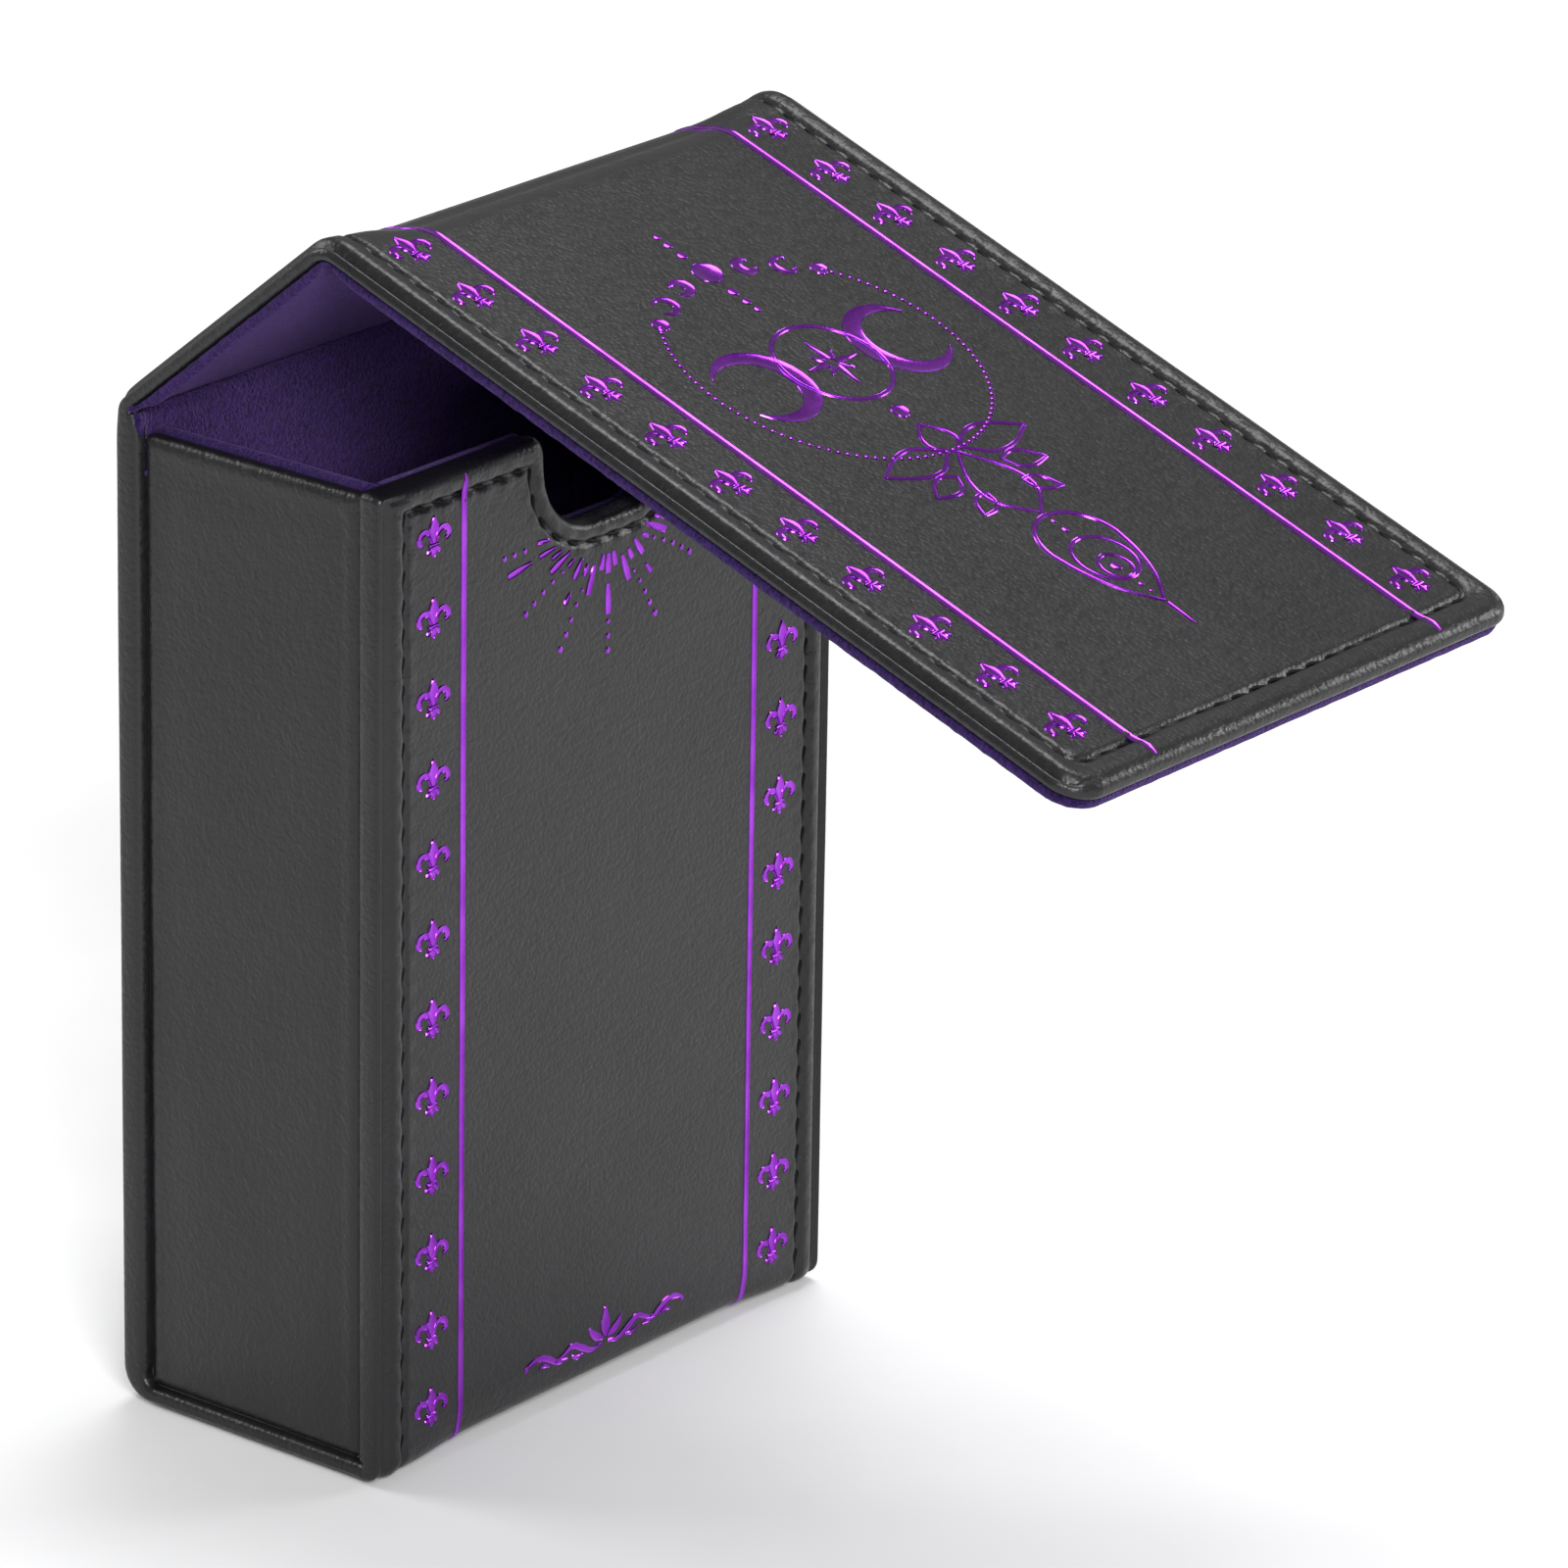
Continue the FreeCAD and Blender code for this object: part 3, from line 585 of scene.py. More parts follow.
def foil():
    """Hot-stamped metallised film: a bright purple mirror, dulled a little by the leather under it."""
    material, tree, shader, space = new_material("purple_stamping_foil")
    grain = node(tree, "ShaderNodeTexNoise", {"Vector": space, "Scale": per(0.5), "Detail": 3.0})
    patch = node(tree, "ShaderNodeTexNoise", {"Vector": space, "Scale": per(5), "Detail": 2.0})
    uneven = node(tree, "ShaderNodeBump", {
        "Height": grain.outputs["Fac"], "Strength": 0.12, "Distance": 0.02 * MM})
    feed(shader, {
        "Base Color": between(tree, patch.outputs["Fac"], "#8a2cb8", "#a03fd0"),
        "Roughness": spread(tree, grain.outputs["Fac"], 0.13, 0.22),
        "Normal": uneven.outputs["Normal"]})
    shader.inputs["Metallic"].default_value = 1.0
    return material


def simple(name, low, high, size, rough, metallic=0.0, relief_mm=0.03):
    """A plain finish whose colour, gloss and surface vary with one fine grain."""
    material, tree, shader, space = new_material(name)
    grain = node(tree, "ShaderNodeTexNoise", {"Vector": space, "Scale": per(size), "Detail": 4.0})
    uneven = node(tree, "ShaderNodeBump", {
        "Height": grain.outputs["Fac"], "Strength": 0.5, "Distance": relief_mm * MM})
    feed(shader, {
        "Base Color": between(tree, grain.outputs["Fac"], low, high),
        "Roughness": spread(tree, grain.outputs["Fac"], rough - 0.06, rough + 0.06),
        "Normal": uneven.outputs["Normal"]})
    shader.inputs["Metallic"].default_value = metallic
    return material


# Embossed PU leather, its wrinkles running across the long panel and more even on the sides.
PANEL_LEATHER = leather("charcoal_pu_leather", "#111113", "#171719", (0.35, 1.0, 1.0))
SIDE_LEATHER = leather("side_pu_leather", "#121214", "#171719", (0.8, 0.8, 0.6))
PURPLE_VELVET = velvet()
STAMPED_FOIL = foil()
# Waxed polyester thread: black, with a slight shine along each stitch.
THREAD = simple("waxed_black_thread", "#010101", "#040404", 0.3, 0.6, relief_mm=0.08)
THREAD.node_tree.nodes["Principled BSDF"].inputs["Specular IOR Level"].default_value = 0.15
# Solid greyboard: dull warm grey with darker pulp flecks.
GREYBOARD = simple("greyboard", "#7d776d", "#928b80", 0.8, 0.9)
# Closed-cell foam sheet: matt pale grey with fine pores.
FOAM = simple("foam_sheet", "#b9b9b5", "#cfcfcb", 0.4, 0.85, relief_mm=0.1)
# Nickel plate on the magnets: bright, slightly warm metal.
NICKEL = simple("nickel_plate", "#bdb8ae", "#d2cdc3", 2.0, 0.24, metallic=1.0, relief_mm=0.01)
# Zinc plate on the steel discs: bluish grey metal, duller than the nickel.
ZINC = simple("zinc_plate", "#9fa4a8", "#b5babd", 1.5, 0.38, metallic=1.0, relief_mm=0.01)
# Matt pale studio floor.
FLOOR = simple("studio_floor", "#e9e9ea", "#ececed", 40, 0.7)

# ---- camera, light and floor


CAMERA_LENS = 223.45
CAMERA_PLACE = Vector((-877.8, -752.3, 510.3))
CAMERA_RIGHT = Vector((0.62947, -0.77687, 0.01558))
CAMERA_FORWARD = Vector((0.73096, 0.58523, -0.35102))
LIGHT_TARGET = Vector((0, -30, 80))
# Soft light panels: name, place in metres, size in metres and power in watts.
LIGHT_PANELS = [
    ("key_panel", (-0.95, -1.15, 0.85), 0.5, 23),
    ("top_panel", (0.4, 0.1, 1.4), 0.7, 13),
    ("right_panel", (1.25, -0.75, 0.5), 0.5, 7),
    ("back_panel", (-0.5, 1.3, 0.9), 0.7, 9)]
ROOM_STRENGTH = 0.32


def studio():
    """The camera, a pale floor and soft light from large panels."""
    scene = bpy.context.scene
    camera = placed("camera", bpy.data.cameras.new("camera"))
    camera.data.lens = CAMERA_LENS
    camera.data.sensor_width = 36.0
    camera.data.clip_end = 20.0
    turned = Matrix((CAMERA_RIGHT, CAMERA_RIGHT.cross(CAMERA_FORWARD), -CAMERA_FORWARD)).transposed()
    camera.matrix_world = Matrix.Translation(CAMERA_PLACE * MM) @ turned.to_4x4()
    scene.camera = camera

    ground = bmesh.new()
    bmesh.ops.create_grid(ground, x_segments=8, y_segments=8, size=6.0)
    data = bpy.data.meshes.new("floor")
    ground.to_mesh(data)
    ground.free()
    data.materials.append(FLOOR)
    floor = placed("floor", data)
    floor.location.z = -0.2 * MM

    for name, place, size, power in LIGHT_PANELS:
        light = placed(name, bpy.data.lights.new(name, "AREA"))
        light.data.shape = "SQUARE"
        light.data.size = size
        light.data.energy = power
        light.location = place
        backwards = Vector(place) - LIGHT_TARGET * MM
        light.rotation_euler = backwards.to_track_quat("Z", "Y").to_euler()
    world = bpy.data.worlds.new("soft_white_room")
    world.use_nodes = True
    world.node_tree.nodes["Background"].inputs["Color"].default_value = linear("#ffffff")
    world.node_tree.nodes["Background"].inputs["Strength"].default_value = ROOM_STRENGTH
    scene.world = world
    scene.view_settings.view_transform = "Standard"


# ---- leather of the long panel

FRONT_SEAMS = Seams([
    [(-SEAM_X, S_BASE_MID), (-SEAM_X, RIM_SEAM)] + NOTCH_STITCHES
    + [Vector((-point.x, point.y)) for point in reversed(NOTCH_STITCHES[:-1])]
    + [(SEAM_X, RIM_SEAM), (SEAM_X, S_BASE_MID)]])
BACK_SEAMS = Seams([[(side * SEAM_X, S_BASE_MID), (side * SEAM_X, S_LID_MID)] for side in (-1, 1)])
TIP_SEAM = S_TIP - SEAM_INSET
# The radius of the seam's turn at the flap's corners.
TIP_TURN = 2.6
FLAP_SEAMS = Seams([
    [(-SEAM_X, S_LID_MID), (-SEAM_X, TIP_SEAM - TIP_TURN)]
    + [(-SEAM_X + TIP_TURN - TIP_TURN * math.cos(math.radians(turn)),
        TIP_SEAM - TIP_TURN + TIP_TURN * math.sin(math.radians(turn))) for turn in range(15, 91, 15)]
    + [(SEAM_X - TIP_TURN + TIP_TURN * math.sin(math.radians(turn)),
        TIP_SEAM - TIP_TURN + TIP_TURN * math.cos(math.radians(turn))) for turn in range(0, 91, 15)]
    + [(SEAM_X, S_LID_MID)]])

BASE_TUCK_LOSS = 0.33
# Grid lines beside a seam, and a spacing along it that shows single stitches.
BESIDE_SEAM = [0.22, 0.45, 0.75, 1.15, 1.75, 2.6]
FINE_ROWS = 0.74


def inner_columns(plain):
    """Inner lines along a panel: close beside the seams, and as given between them."""
    left = [-SEAM_X + step for step in BESIDE_SEAM]
    return left + plain + [-x for x in reversed(left)]


WIDE_COLUMNS = inner_columns(
    spaced(-SEAM_X + BESIDE_SEAM[-1], -24, 2.0) + spaced(-24, 24, 4.0) + spaced(24, SEAM_X - 4.6, 2.0))


def changing_edge(s):
    """The panel's rolled edge: a deep bead round the box, a thinner one on the lid.

    It tucks less deep under the base."""
    share = smooth(s, S_HINGE - 4, S_LID + 2)
    under = smooth(s, S_FRONT, S_BASE) * (1 - smooth(s, S_BASE_END, S_BACK))

    def at(step):
        inset, height = BOX_EDGE(step).lerp(FLAP_EDGE(step), share)
        return Vector((inset, height * (1 - BASE_TUCK_LOSS * under)))
    return at


def leather_corner(seams, corner, notched=False, end_scale=1.0, end_edge=None):
    """Gives the place of each corner of a leather panel's grid."""
    def where(column, row):
        x, s, height = crossing(changing_edge(row[2]), column, row, corner,
                                end_scale=end_scale, end_edge=end_edge)
        if notched:
            x, s = round_notch(x, s)
        shown = smooth(height, -1.2, -0.3)
        return on_strip(x, s, height + shown * relief(seams, x, s))
    return where


def plain_rows(*stations):
    """Lines across a panel: pairs of a station and the spacing up to it."""
    rows = [stations[0]]
    for station, pitch in zip(stations[1::2], stations[2::2]):
        rows += spaced(rows[-1], station, pitch)
    return [(0, 0, s) for s in rows]


def front_skin():
    plain = mirrored(spaced(-SEAM_X + BESIDE_SEAM[-1], -NOTCH_REACH, 0.42) + spaced(-NOTCH_REACH, 0, 0.78))
    rows = [(-1, step, 0.0) for step in EDGE_STEPS]
    rows += plain_rows(RIM_SEAM + 0.3, RIM_SEAM + 1.2, 0.3, S_FRONT, FINE_ROWS,
                       S_BASE, 0.5, S_BASE_MID, 1.2)
    columns = columns_of(HALF_WIDTH, EDGE_STEPS, inner_columns(plain))
    sheet = grid(columns, rows, leather_corner(
        FRONT_SEAMS, BOX_CORNER, notched=True, end_scale=RIM_SCALE, end_edge=RIM_EDGE))
    finish(sheet, "front_leather_panel", PANEL_LEATHER,
           ("front_leather",), "box", thick=SKIN)


def back_skin():
    rows = plain_rows(S_BASE_MID, S_BASE_END, 1.2, S_BACK, 0.6, S_HINGE - 9, FINE_ROWS, S_LID + 4, 0.4,
                      S_LID_MID, FINE_ROWS)
    sheet = grid(columns_of(HALF_WIDTH, EDGE_STEPS, WIDE_COLUMNS), rows,
                 leather_corner(BACK_SEAMS, BOX_CORNER))
    finish(sheet, "back_leather_panel", PANEL_LEATHER,
           ("back_leather", "base_leather", "rear_hinge_leather", "lid_top_leather"),
           bend=REAR_BLEND, thick=SKIN)


def flap_skin():
    rows = plain_rows(S_LID_MID, S_FOLD - 4, FINE_ROWS, S_FLAP + 4, 0.4, TIP_SEAM - 1.2, FINE_ROWS,
                      TIP_SEAM - 0.3, 0.3)
    rows += [(1, step, S_TIP) for step in reversed(EDGE_STEPS)]
    sheet = grid(columns_of(HALF_WIDTH, EDGE_STEPS, WIDE_COLUMNS), rows,
                 leather_corner(FLAP_SEAMS, FLAP_CORNER, end_edge=TIP_EDGE))
    finish(sheet, "flap_leather_panel", PANEL_LEATHER,
           ("fold_leather", "flap_leather"), bend=FOLD_BLEND, thick=SKIN)


# ---- side panels

SIDE_FACE = cad("right_leather")[1].x
SIDE_FRONT, SIDE_BACK = -17.6, 18.0
SIDE_FOOT, SIDE_TOP = 2.4, cad("right_leather")[1].z


def side_panel(name, side):
    """A plain leather panel with four rolled edges, as seen from outside."""
    depth_middle = (SIDE_FRONT + SIDE_BACK) / 2
    half = (SIDE_BACK - SIDE_FRONT) / 2
    columns = columns_of(half, SIDE_STEPS, spaced(-half + 3.2, half - 3.2, 2.2))
    rows = [(-1, step, -SIDE_TOP) for step in SIDE_STEPS]
    rows += [(0, 0, s) for s in spaced(-SIDE_TOP + 3.2, -SIDE_FOOT - 3.2, 2.2)]
    rows += [(1, step, -SIDE_FOOT) for step in reversed(SIDE_STEPS)]

    def where(column, row):
        across, down, height = crossing(SIDE_EDGE, column, row, SIDE_CORNER)
        swell = 0.10 * noise.noise(Vector((across, down, side * 9)) / 16)
        crown = smooth(half - abs(across), 0, 8) * smooth(-SIDE_FOOT - down, 0, 8)
        swell += 0.25 * crown * smooth(down + SIDE_TOP, 0, 8)
        out = SIDE_FACE + height + swell * smooth(height, -0.6, 0)
        return Vector((side * out, depth_middle + side * across, -down)) * MM

    sheet = grid(columns, rows, where)
    finish(sheet, name + "_leather_panel", SIDE_LEATHER,
           (name + "_leather",), "box", thick=SKIN)


# ---- velvet


def fuzz(point):
    """Moves a corner of the velvet a little, as uneven pile."""
    place = point / MM
    return point + 0.10 * MM * noise.noise_vector(place / 0.9)


def velvet_slab(name, low, high):
    """A wall of velvet: a slab with soft edges, cut fine enough for its pile to look uneven."""
    slab = bmesh.new()
    bmesh.ops.create_cube(slab, size=1.0)
    for vert in slab.verts:
        vert.co = Vector([(a + b) / 2 + (b - a) * c for a, b, c in zip(low, high, vert.co)])
    for axis in range(3):
        normal = Vector([float(axis == n) for n in range(3)])
        for cut in spaced(low[axis], high[axis], 2.4)[:-1] + [low[axis] + 0.4, high[axis] - 0.4]:
            bmesh.ops.bisect_plane(slab, geom=slab.verts[:] + slab.edges[:] + slab.faces[:],
                                   plane_co=normal * cut, plane_no=normal, dist=1e-4)
    centre = (low + high) / 2
    for vert in slab.verts:
        limits = [n for n in range(3) if min(vert.co[n] - low[n], high[n] - vert.co[n]) < 0.01]
        if len(limits) > 1:
            for n in limits:
                vert.co[n] += 0.3 if vert.co[n] < centre[n] else -0.3
        vert.co = fuzz(vert.co * MM)
    finish(slab, name + "_velvet", PURPLE_VELVET, (name,), "box")


def front_velvet():
    """The velvet behind the front panel, which follows the notch."""
    low, high = cad("front_lining")
    half = high.x
    plain = mirrored(spaced(-half + 0.9, -NOTCH_REACH, 0.9) + spaced(-NOTCH_REACH, 0, 0.8))
    # The first rows roll from under the rim to the wall's face.
    steps = [0.4, 0.2, 0.12, 0.3, 0.9, 1.8]
    tucks = [-3.3, -3.6, -4.0, -4.5, -4.75, -4.8]
    rows = [(0, n, s) for n, s in enumerate(steps)]
    rows += plain_rows(3.4, 30, 0.9, FRONT_TOP - low.z, 2.2)[1:]
    columns = [(0, 0, x) for x in [-half, -half + 0.4] + plain + [half - 0.4, half]]

    def where(column, row):
        x, s = round_notch(column[2], row[2])
        height = tucks[row[1]] if row[2] < 3 else tucks[-1]
        return fuzz(on_strip(x, s, height))

    sheet = grid(columns, rows, where, inside=True)
    finish(sheet, "front_velvet", PURPLE_VELVET, ("front_lining",), "box", thick=FRONT_PILE)


REAR_VELVET_START = S_HINGE - 8.0
BEHIND_SIDE_HEIGHT = -3.75


def velvet_rise(s):
    """How much nearer the leather the velvet lies where it turns the two hinges."""
    rear = 1.15 * bump(s - S_LID, 4.5)
    front = 0.9 * bump(s - (S_FOLD + S_FLAP) / 2, 6.5)
    return rear + front


def velvet_corner(column, row):
    """The place of a corner of the velvet, whose foot is narrower and deeper."""
    x, s, height = crossing(VELVET_EDGE, column, row, VELVET_CORNER, flat=VELVET_FACE)
    behind_side = 1 - smooth(s, S_HINGE - 5, S_HINGE - 2.5)
    x *= 1 - 0.022 * behind_side
    height += (BEHIND_SIDE_HEIGHT - height) * behind_side
    sag = (1 - smooth(abs(x), 25, 38)) * 1.2 * bump(s - (S_FOLD + S_FLAP) / 2, 6)
    return fuzz(on_strip(x, s, height + velvet_rise(s) * smooth(height, -2.0, VELVET_FACE) - sag))


def lid_velvet():
    half = HALF_WIDTH - 0.4
    plain = spaced(-half + 4.4, half - 4.4, 1.8)[:-1]
    columns = columns_of(half, VELVET_STEPS, plain)
    rear_rows = plain_rows(REAR_VELVET_START, S_HINGE - 2, 1.0, S_LID + 3, 0.5, S_LID_MID, 0.9)
    rear = grid(columns, rear_rows, velvet_corner, inside=True)
    finish(rear, "lid_velvet", PURPLE_VELVET, ("rear_hinge_lining", "lid_top_lining"),
           bend=REAR_BLEND, thick=LID_PILE)
    flap_rows = plain_rows(S_LID_MID, S_FOLD - 3, 0.9, S_FLAP + 3, 0.5, S_TIP - 5.4, 0.9)
    flap_rows += [(1, step, S_TIP - 0.4) for step in reversed(VELVET_STEPS)]
    flap = grid(columns, flap_rows, velvet_corner, inside=True)
    finish(flap, "flap_velvet", PURPLE_VELVET, ("fold_lining", "flap_lining"),
           bend=FOLD_BLEND, thick=LID_PILE)


# ---- foam under the leather

FOAM_TOP = -0.78
FOAM_HALF = 41.2


def foam_sheet(name, node_name, start, stop, body, notched=False):
    """A thin padding sheet just under the leather, its edges softened."""
    plain = mirrored(spaced(-FOAM_HALF + 0.5, -NOTCH_REACH, 2.0) + spaced(-NOTCH_REACH, 0, 1.0))
    columns = [(0, 0, x) for x in [-FOAM_HALF, -FOAM_HALF + 0.5] + plain + [FOAM_HALF - 0.5, FOAM_HALF]]
    rows = plain_rows(start, start + 0.6, 0.6, start + 8, 0.9, stop - 0.6, 2.5, stop, 0.6)

    def where(column, row):
        x, s = round_notch(column[2], row[2]) if notched else (column[2], row[2])
        edge = min(FOAM_HALF - abs(column[2]), row[2] - start, stop - row[2])
        waves = 0.05 * noise.noise(Vector((x, s, 5)) / 6)
        return on_strip(x, s, FOAM_TOP + waves - 0.12 * (1 - smooth(edge, 0, 0.6)))

    piece = finish(grid(columns, rows, where), name, FOAM, (node_name,), body, thick=FOAM_THICK)


# ---- thread


STITCH_HALF, STITCH_WIDE, STITCH_TALL = 1.85, 0.34, 0.3
STITCH_ABOVE = 0.2


def stitches(name, seams, node_names, body=None, bend=None):
    """Each stitch lies in the groove, a little askew, and dives into the leather at both ends."""
    rows = bmesh.new()
    for point, direction in seams.stitches:
        made = bmesh.ops.create_uvsphere(rows, u_segments=8, v_segments=8, radius=1.0)
        side = Vector((-direction.y, direction.x))
        level = relief(seams, point.x, point.y) + STITCH_ABOVE
        for vert in made["verts"]:
            along_it, across_it = vert.co.z * STITCH_HALF, vert.co.x * STITCH_WIDE
            up = vert.co.y * STITCH_TALL
            across_it += 0.24 * math.sin(math.pi * 0.9 * along_it / STITCH_HALF)
            up -= 0.34 * (along_it / STITCH_HALF) ** 4
            flat = point + direction * along_it + side * across_it
            vert.co = on_strip(flat.x, flat.y, level + up)
    bmesh.ops.recalc_face_normals(rows, faces=rows.faces[:])
    finish(rows, name, THREAD, node_names, body, bend)


# ---- foil


def curve(points):
    """A smooth line through points, as a function of its share from 0 to 1."""
    at = edge_curve(points)
    return lambda share: at(share * (len(points) - 1))


def arc(x, y, radius, start, stop):
    """A circular line between two angles in degrees."""
    def at(share):
        angle = math.radians(start + (stop - start) * share)
        return Vector((x + radius * math.cos(angle), y + radius * math.sin(angle)))
    return at


def straight(start, end):
    return lambda share: Vector(start).lerp(Vector(end), share)


def leaf(half):
    """A width that is pointed at both ends and fullest in the middle."""
    return lambda share: half * math.sin(math.pi * share) ** 0.8


def tapered(*widths):
    """A width that runs through the given half widths."""
    def at(share):
        place = share * (len(widths) - 1)
        n = min(int(place), len(widths) - 2)
        return widths[n] + (widths[n + 1] - widths[n]) * (place - n)
    return at


def rolled_height(edge, inset):
    """The height of a rolled edge at an inset between its crown and the seam."""
    steps = [edge(n / 4) for n in range(12, 49)]
    for outer, inner in zip(steps, steps[1:]):
        if inset <= inner[0]:
            return outer[1] + (inner[1] - outer[1]) * max(0, inset - outer[0]) / (inner[0] - outer[0])
    return 0.0


def beyond_seam(s):
    """How high the leather stands past the seams at the front's rim and the flap's tip."""
    if s < RIM_SEAM:
        return rolled_height(RIM_EDGE, s / RIM_SCALE)
    return rolled_height(TIP_EDGE, S_TIP - s) if s > TIP_SEAM else 0.0


class Stamp:
    """Foil shapes drawn flat: x across the panel and y up it, in millimetres.

    A strip's rim is RIM wide and HIGH tall, round a middle LOW tall."""

    RIM = 0.18
    HIGH = 0.13
    LOW = 0.05

    def __init__(self):
        self.mesh = bmesh.new()
        self.x = 0.0
        self.y = 0.0
        self.scale = 1.0

    def at(self, x, y, scale=1.0):
        self.x, self.y, self.scale = x, y, scale
        return self

    def ribbon(self, line, width, steps, over=0.0, domed=False):
        """A strip of foil along a line, with a raised rim unless it is domed."""
        origin = Vector((self.x, self.y))
        made = bmesh.ops.create_grid(self.mesh, x_segments=steps, y_segments=4, size=1.0)
        for vert in made["verts"]:
            share = (vert.co.x + 1) / 2
            part = round(vert.co.y * 2)
            before, after = line(max(0.0, share - 0.01)), line(min(1.0, share + 0.01))
            direction = (after - before).normalized()
            half = max(0.015, width(share) * self.scale)
            rim = min(self.RIM, 0.4 * half)
            across = (0, half - rim, half)[abs(part)] * (1 if part > 0 else -1)
            lift = over + (self.LOW if (abs(part) < 2) != domed else self.HIGH)
            ends = min(1.0, min(share, 1 - share) * steps)
            if ends < 0.5 and width(share) * self.scale < 0.1:
                lift = over + (self.LOW if domed else self.HIGH * 0.8)
            flat = origin + line(share) * self.scale + Vector((-direction.y, direction.x)) * across
            vert.co = Vector((flat.x, flat.y, lift))

    def both(self, points, width, steps):
        """A ribbon through points, and its mirror image in the motif's middle."""
        self.ribbon(curve(points), width, steps)
        self.ribbon(curve([(-x, y) for x, y in points]), width, steps)

    def dot(self, x, y, radius, steps=8):
        def round_line(share):
            return Vector((x, y - radius * math.cos(math.pi * share)))
        self.ribbon(round_line, lambda share: radius * math.sin(math.pi * share), steps,
                    domed=radius < 0.9)

    def ring(self, x, y, radius, half):
        self.ribbon(arc(x, y, radius, 90, 450), lambda share: half, max(16, int(radius * 8)))

    def press(self, name, seams, station, level=False, nodes=(), body=None, bend=None):
        """Lays the flat shapes on the leather; station gives the distance along it for a y."""
        bmesh.ops.remove_doubles(self.mesh, verts=self.mesh.verts[:], dist=0.004)
        for vert in self.mesh.verts:
            x, s = vert.co.x, station(vert.co.y)
            vert.co = on_strip(x, s, relief(seams, x, s, level) + beyond_seam(s) + vert.co.z)
        finish(self.mesh, name, STAMPED_FOIL, nodes, body, bend, thick=FOIL_THICK)


def fleur(stamp):
    """A heraldic lily about 6 mm wide: a lance, two curled side petals, a band and a foot."""
    stamp.ribbon(straight((0, -0.8), (0, 2.75)), tapered(0.2, 0.55, 0.84, 0.78, 0.42, 0.03), 12, over=0.04)
    stamp.both([(0.3, -0.85), (0.6, 0.1), (1.3, 0.85), (2.2, 0.85), (2.75, 0.25), (2.7, -0.45), (2.2, -0.65)],
               tapered(0.12, 0.24, 0.38, 0.42, 0.36, 0.28, 0.2), 18)
    stamp.ribbon(straight((-0.95, -1.05), (0.95, -1.05)), tapered(0.1, 0.17, 0.17, 0.1), 6, over=0.07)
    stamp.ribbon(straight((0, -1.3), (0, -2.65)), tapered(0.14, 0.34, 0.28, 0.03), 8)
    for side in (-1, 1):
        stamp.ribbon(straight((side * 0.35, -1.35), (side * 1.15, -2.05)), tapered(0.08, 0.2, 0.32, 0.16), 6)


def below(start):
    """Turns a height above a line across the panel into the distance along the panel."""
    return lambda y: start - y


front_station, lid_station, flap_station = below(FRONT_TOP), below(S_FOLD), below(S_FLAP)
# Columns of lilies: distance from the middle, height of the first, pitch and count.
FRONT_FLEUR = (33.9, 123.4, 10.5, 12)
FLAP_FLEUR = (34.1, -3.7, 10.68, 11)


def fleurs(name, layout, scale, seams, station, **where):
    """Two columns of lilies, evenly spaced."""
    x, first, pitch, count = layout
    stamp = Stamp()
    for side in (-1, 1):
        for number in range(count):
            fleur(stamp.at(side * x, first - number * pitch, scale))
    stamp.press(name, seams, station, **where)


def foil_lines(name, top, bottom, half, seams, station, **where):
    """Two long lines of foil, pointed where they end."""
    stamp = Stamp()
    steps = round((top - bottom) / 0.8)
    for side in (-1, 1):
        stamp.ribbon(straight((side * FOIL_X, bottom), (side * FOIL_X, top)),
                     lambda share: half * min(1.0, 0.2 + 60 * min(share, 1 - share)), steps)
    stamp.press(name, seams, station, level=True, **where)


# The drawings stand a little to one side of the panel's middle.
ART_X = -0.8
# Rays of the sunburst as thin end, thick end and half width, from the outermost to the lowest.
RAYS = [
    ((-11.4, 117.4), (-13.6, 117.5), 0.24), ((-10.1, 116.1), (-13.2, 115.6), 0.32),
    ((-14.7, 115.3), (-19.2, 114.5), 0.44), ((-8.9, 115.4), (-10.8, 114.7), 0.28),
    ((-7.25, 114.8), (-11.1, 113.0), 0.46), ((-6.55, 113.6), (-7.75, 112.9), 0.28),
    ((-5.0, 113.3), (-6.6, 111.0), 0.42), ((-3.95, 112.3), (-4.6, 110.85), 0.34),
    ((-2.7, 111.8), (-3.95, 108.2), 0.46), ((-7.3, 109.4), (-8.3, 108.1), 0.3),
    ((-1.0, 112.8), (-1.35, 110.8), 0.34)]
# Strings of dots between the rays: x, y and radius.
RAY_DOTS = [
    (-19.9, 117.1, 0.36), (-18.0, 117.1, 0.34), (-16.0, 117.1, 0.34), (-15.8, 108.8, 0.42),
    (-14.2, 109.8, 0.36), (-12.5, 110.8, 0.34), (-10.7, 111.7, 0.3), (-8.8, 112.5, 0.24),
    (-9.15, 102.4, 0.44), (-8.1, 104.1, 0.38), (-7.15, 105.8, 0.34), (-6.1, 107.5, 0.3), (-5.0, 109.1, 0.24)]


def sunburst():
    """Rays and strings of dots that fan out below the notch."""
    stamp = Stamp().at(ART_X, 0)
    shape = tapered(0.3, 0.75, 1.0, 0.85)
    for side in (-1, 1):
        for (thin_x, thin_y), (thick_x, thick_y), half in RAYS:
            stamp.ribbon(straight((-side * thin_x, thin_y), (-side * thick_x, thick_y)),
                         lambda share: half * shape(share), 8)
        for x, y, radius in RAY_DOTS:
            stamp.dot(-side * x, y, radius)
    for top, bottom in ((112.7, 110.1), (108.7, 104.7)):
        stamp.ribbon(straight((0, top), (0, bottom)), tapered(0.12, 0.34, 0.42, 0.36), 8)
    for y, radius in ((103.7, 0.32), (101.8, 0.38), (99.9, 0.42)):
        stamp.dot(0, y, radius)
    stamp.press("sunburst_foil", FRONT_SEAMS, front_station, body="box")


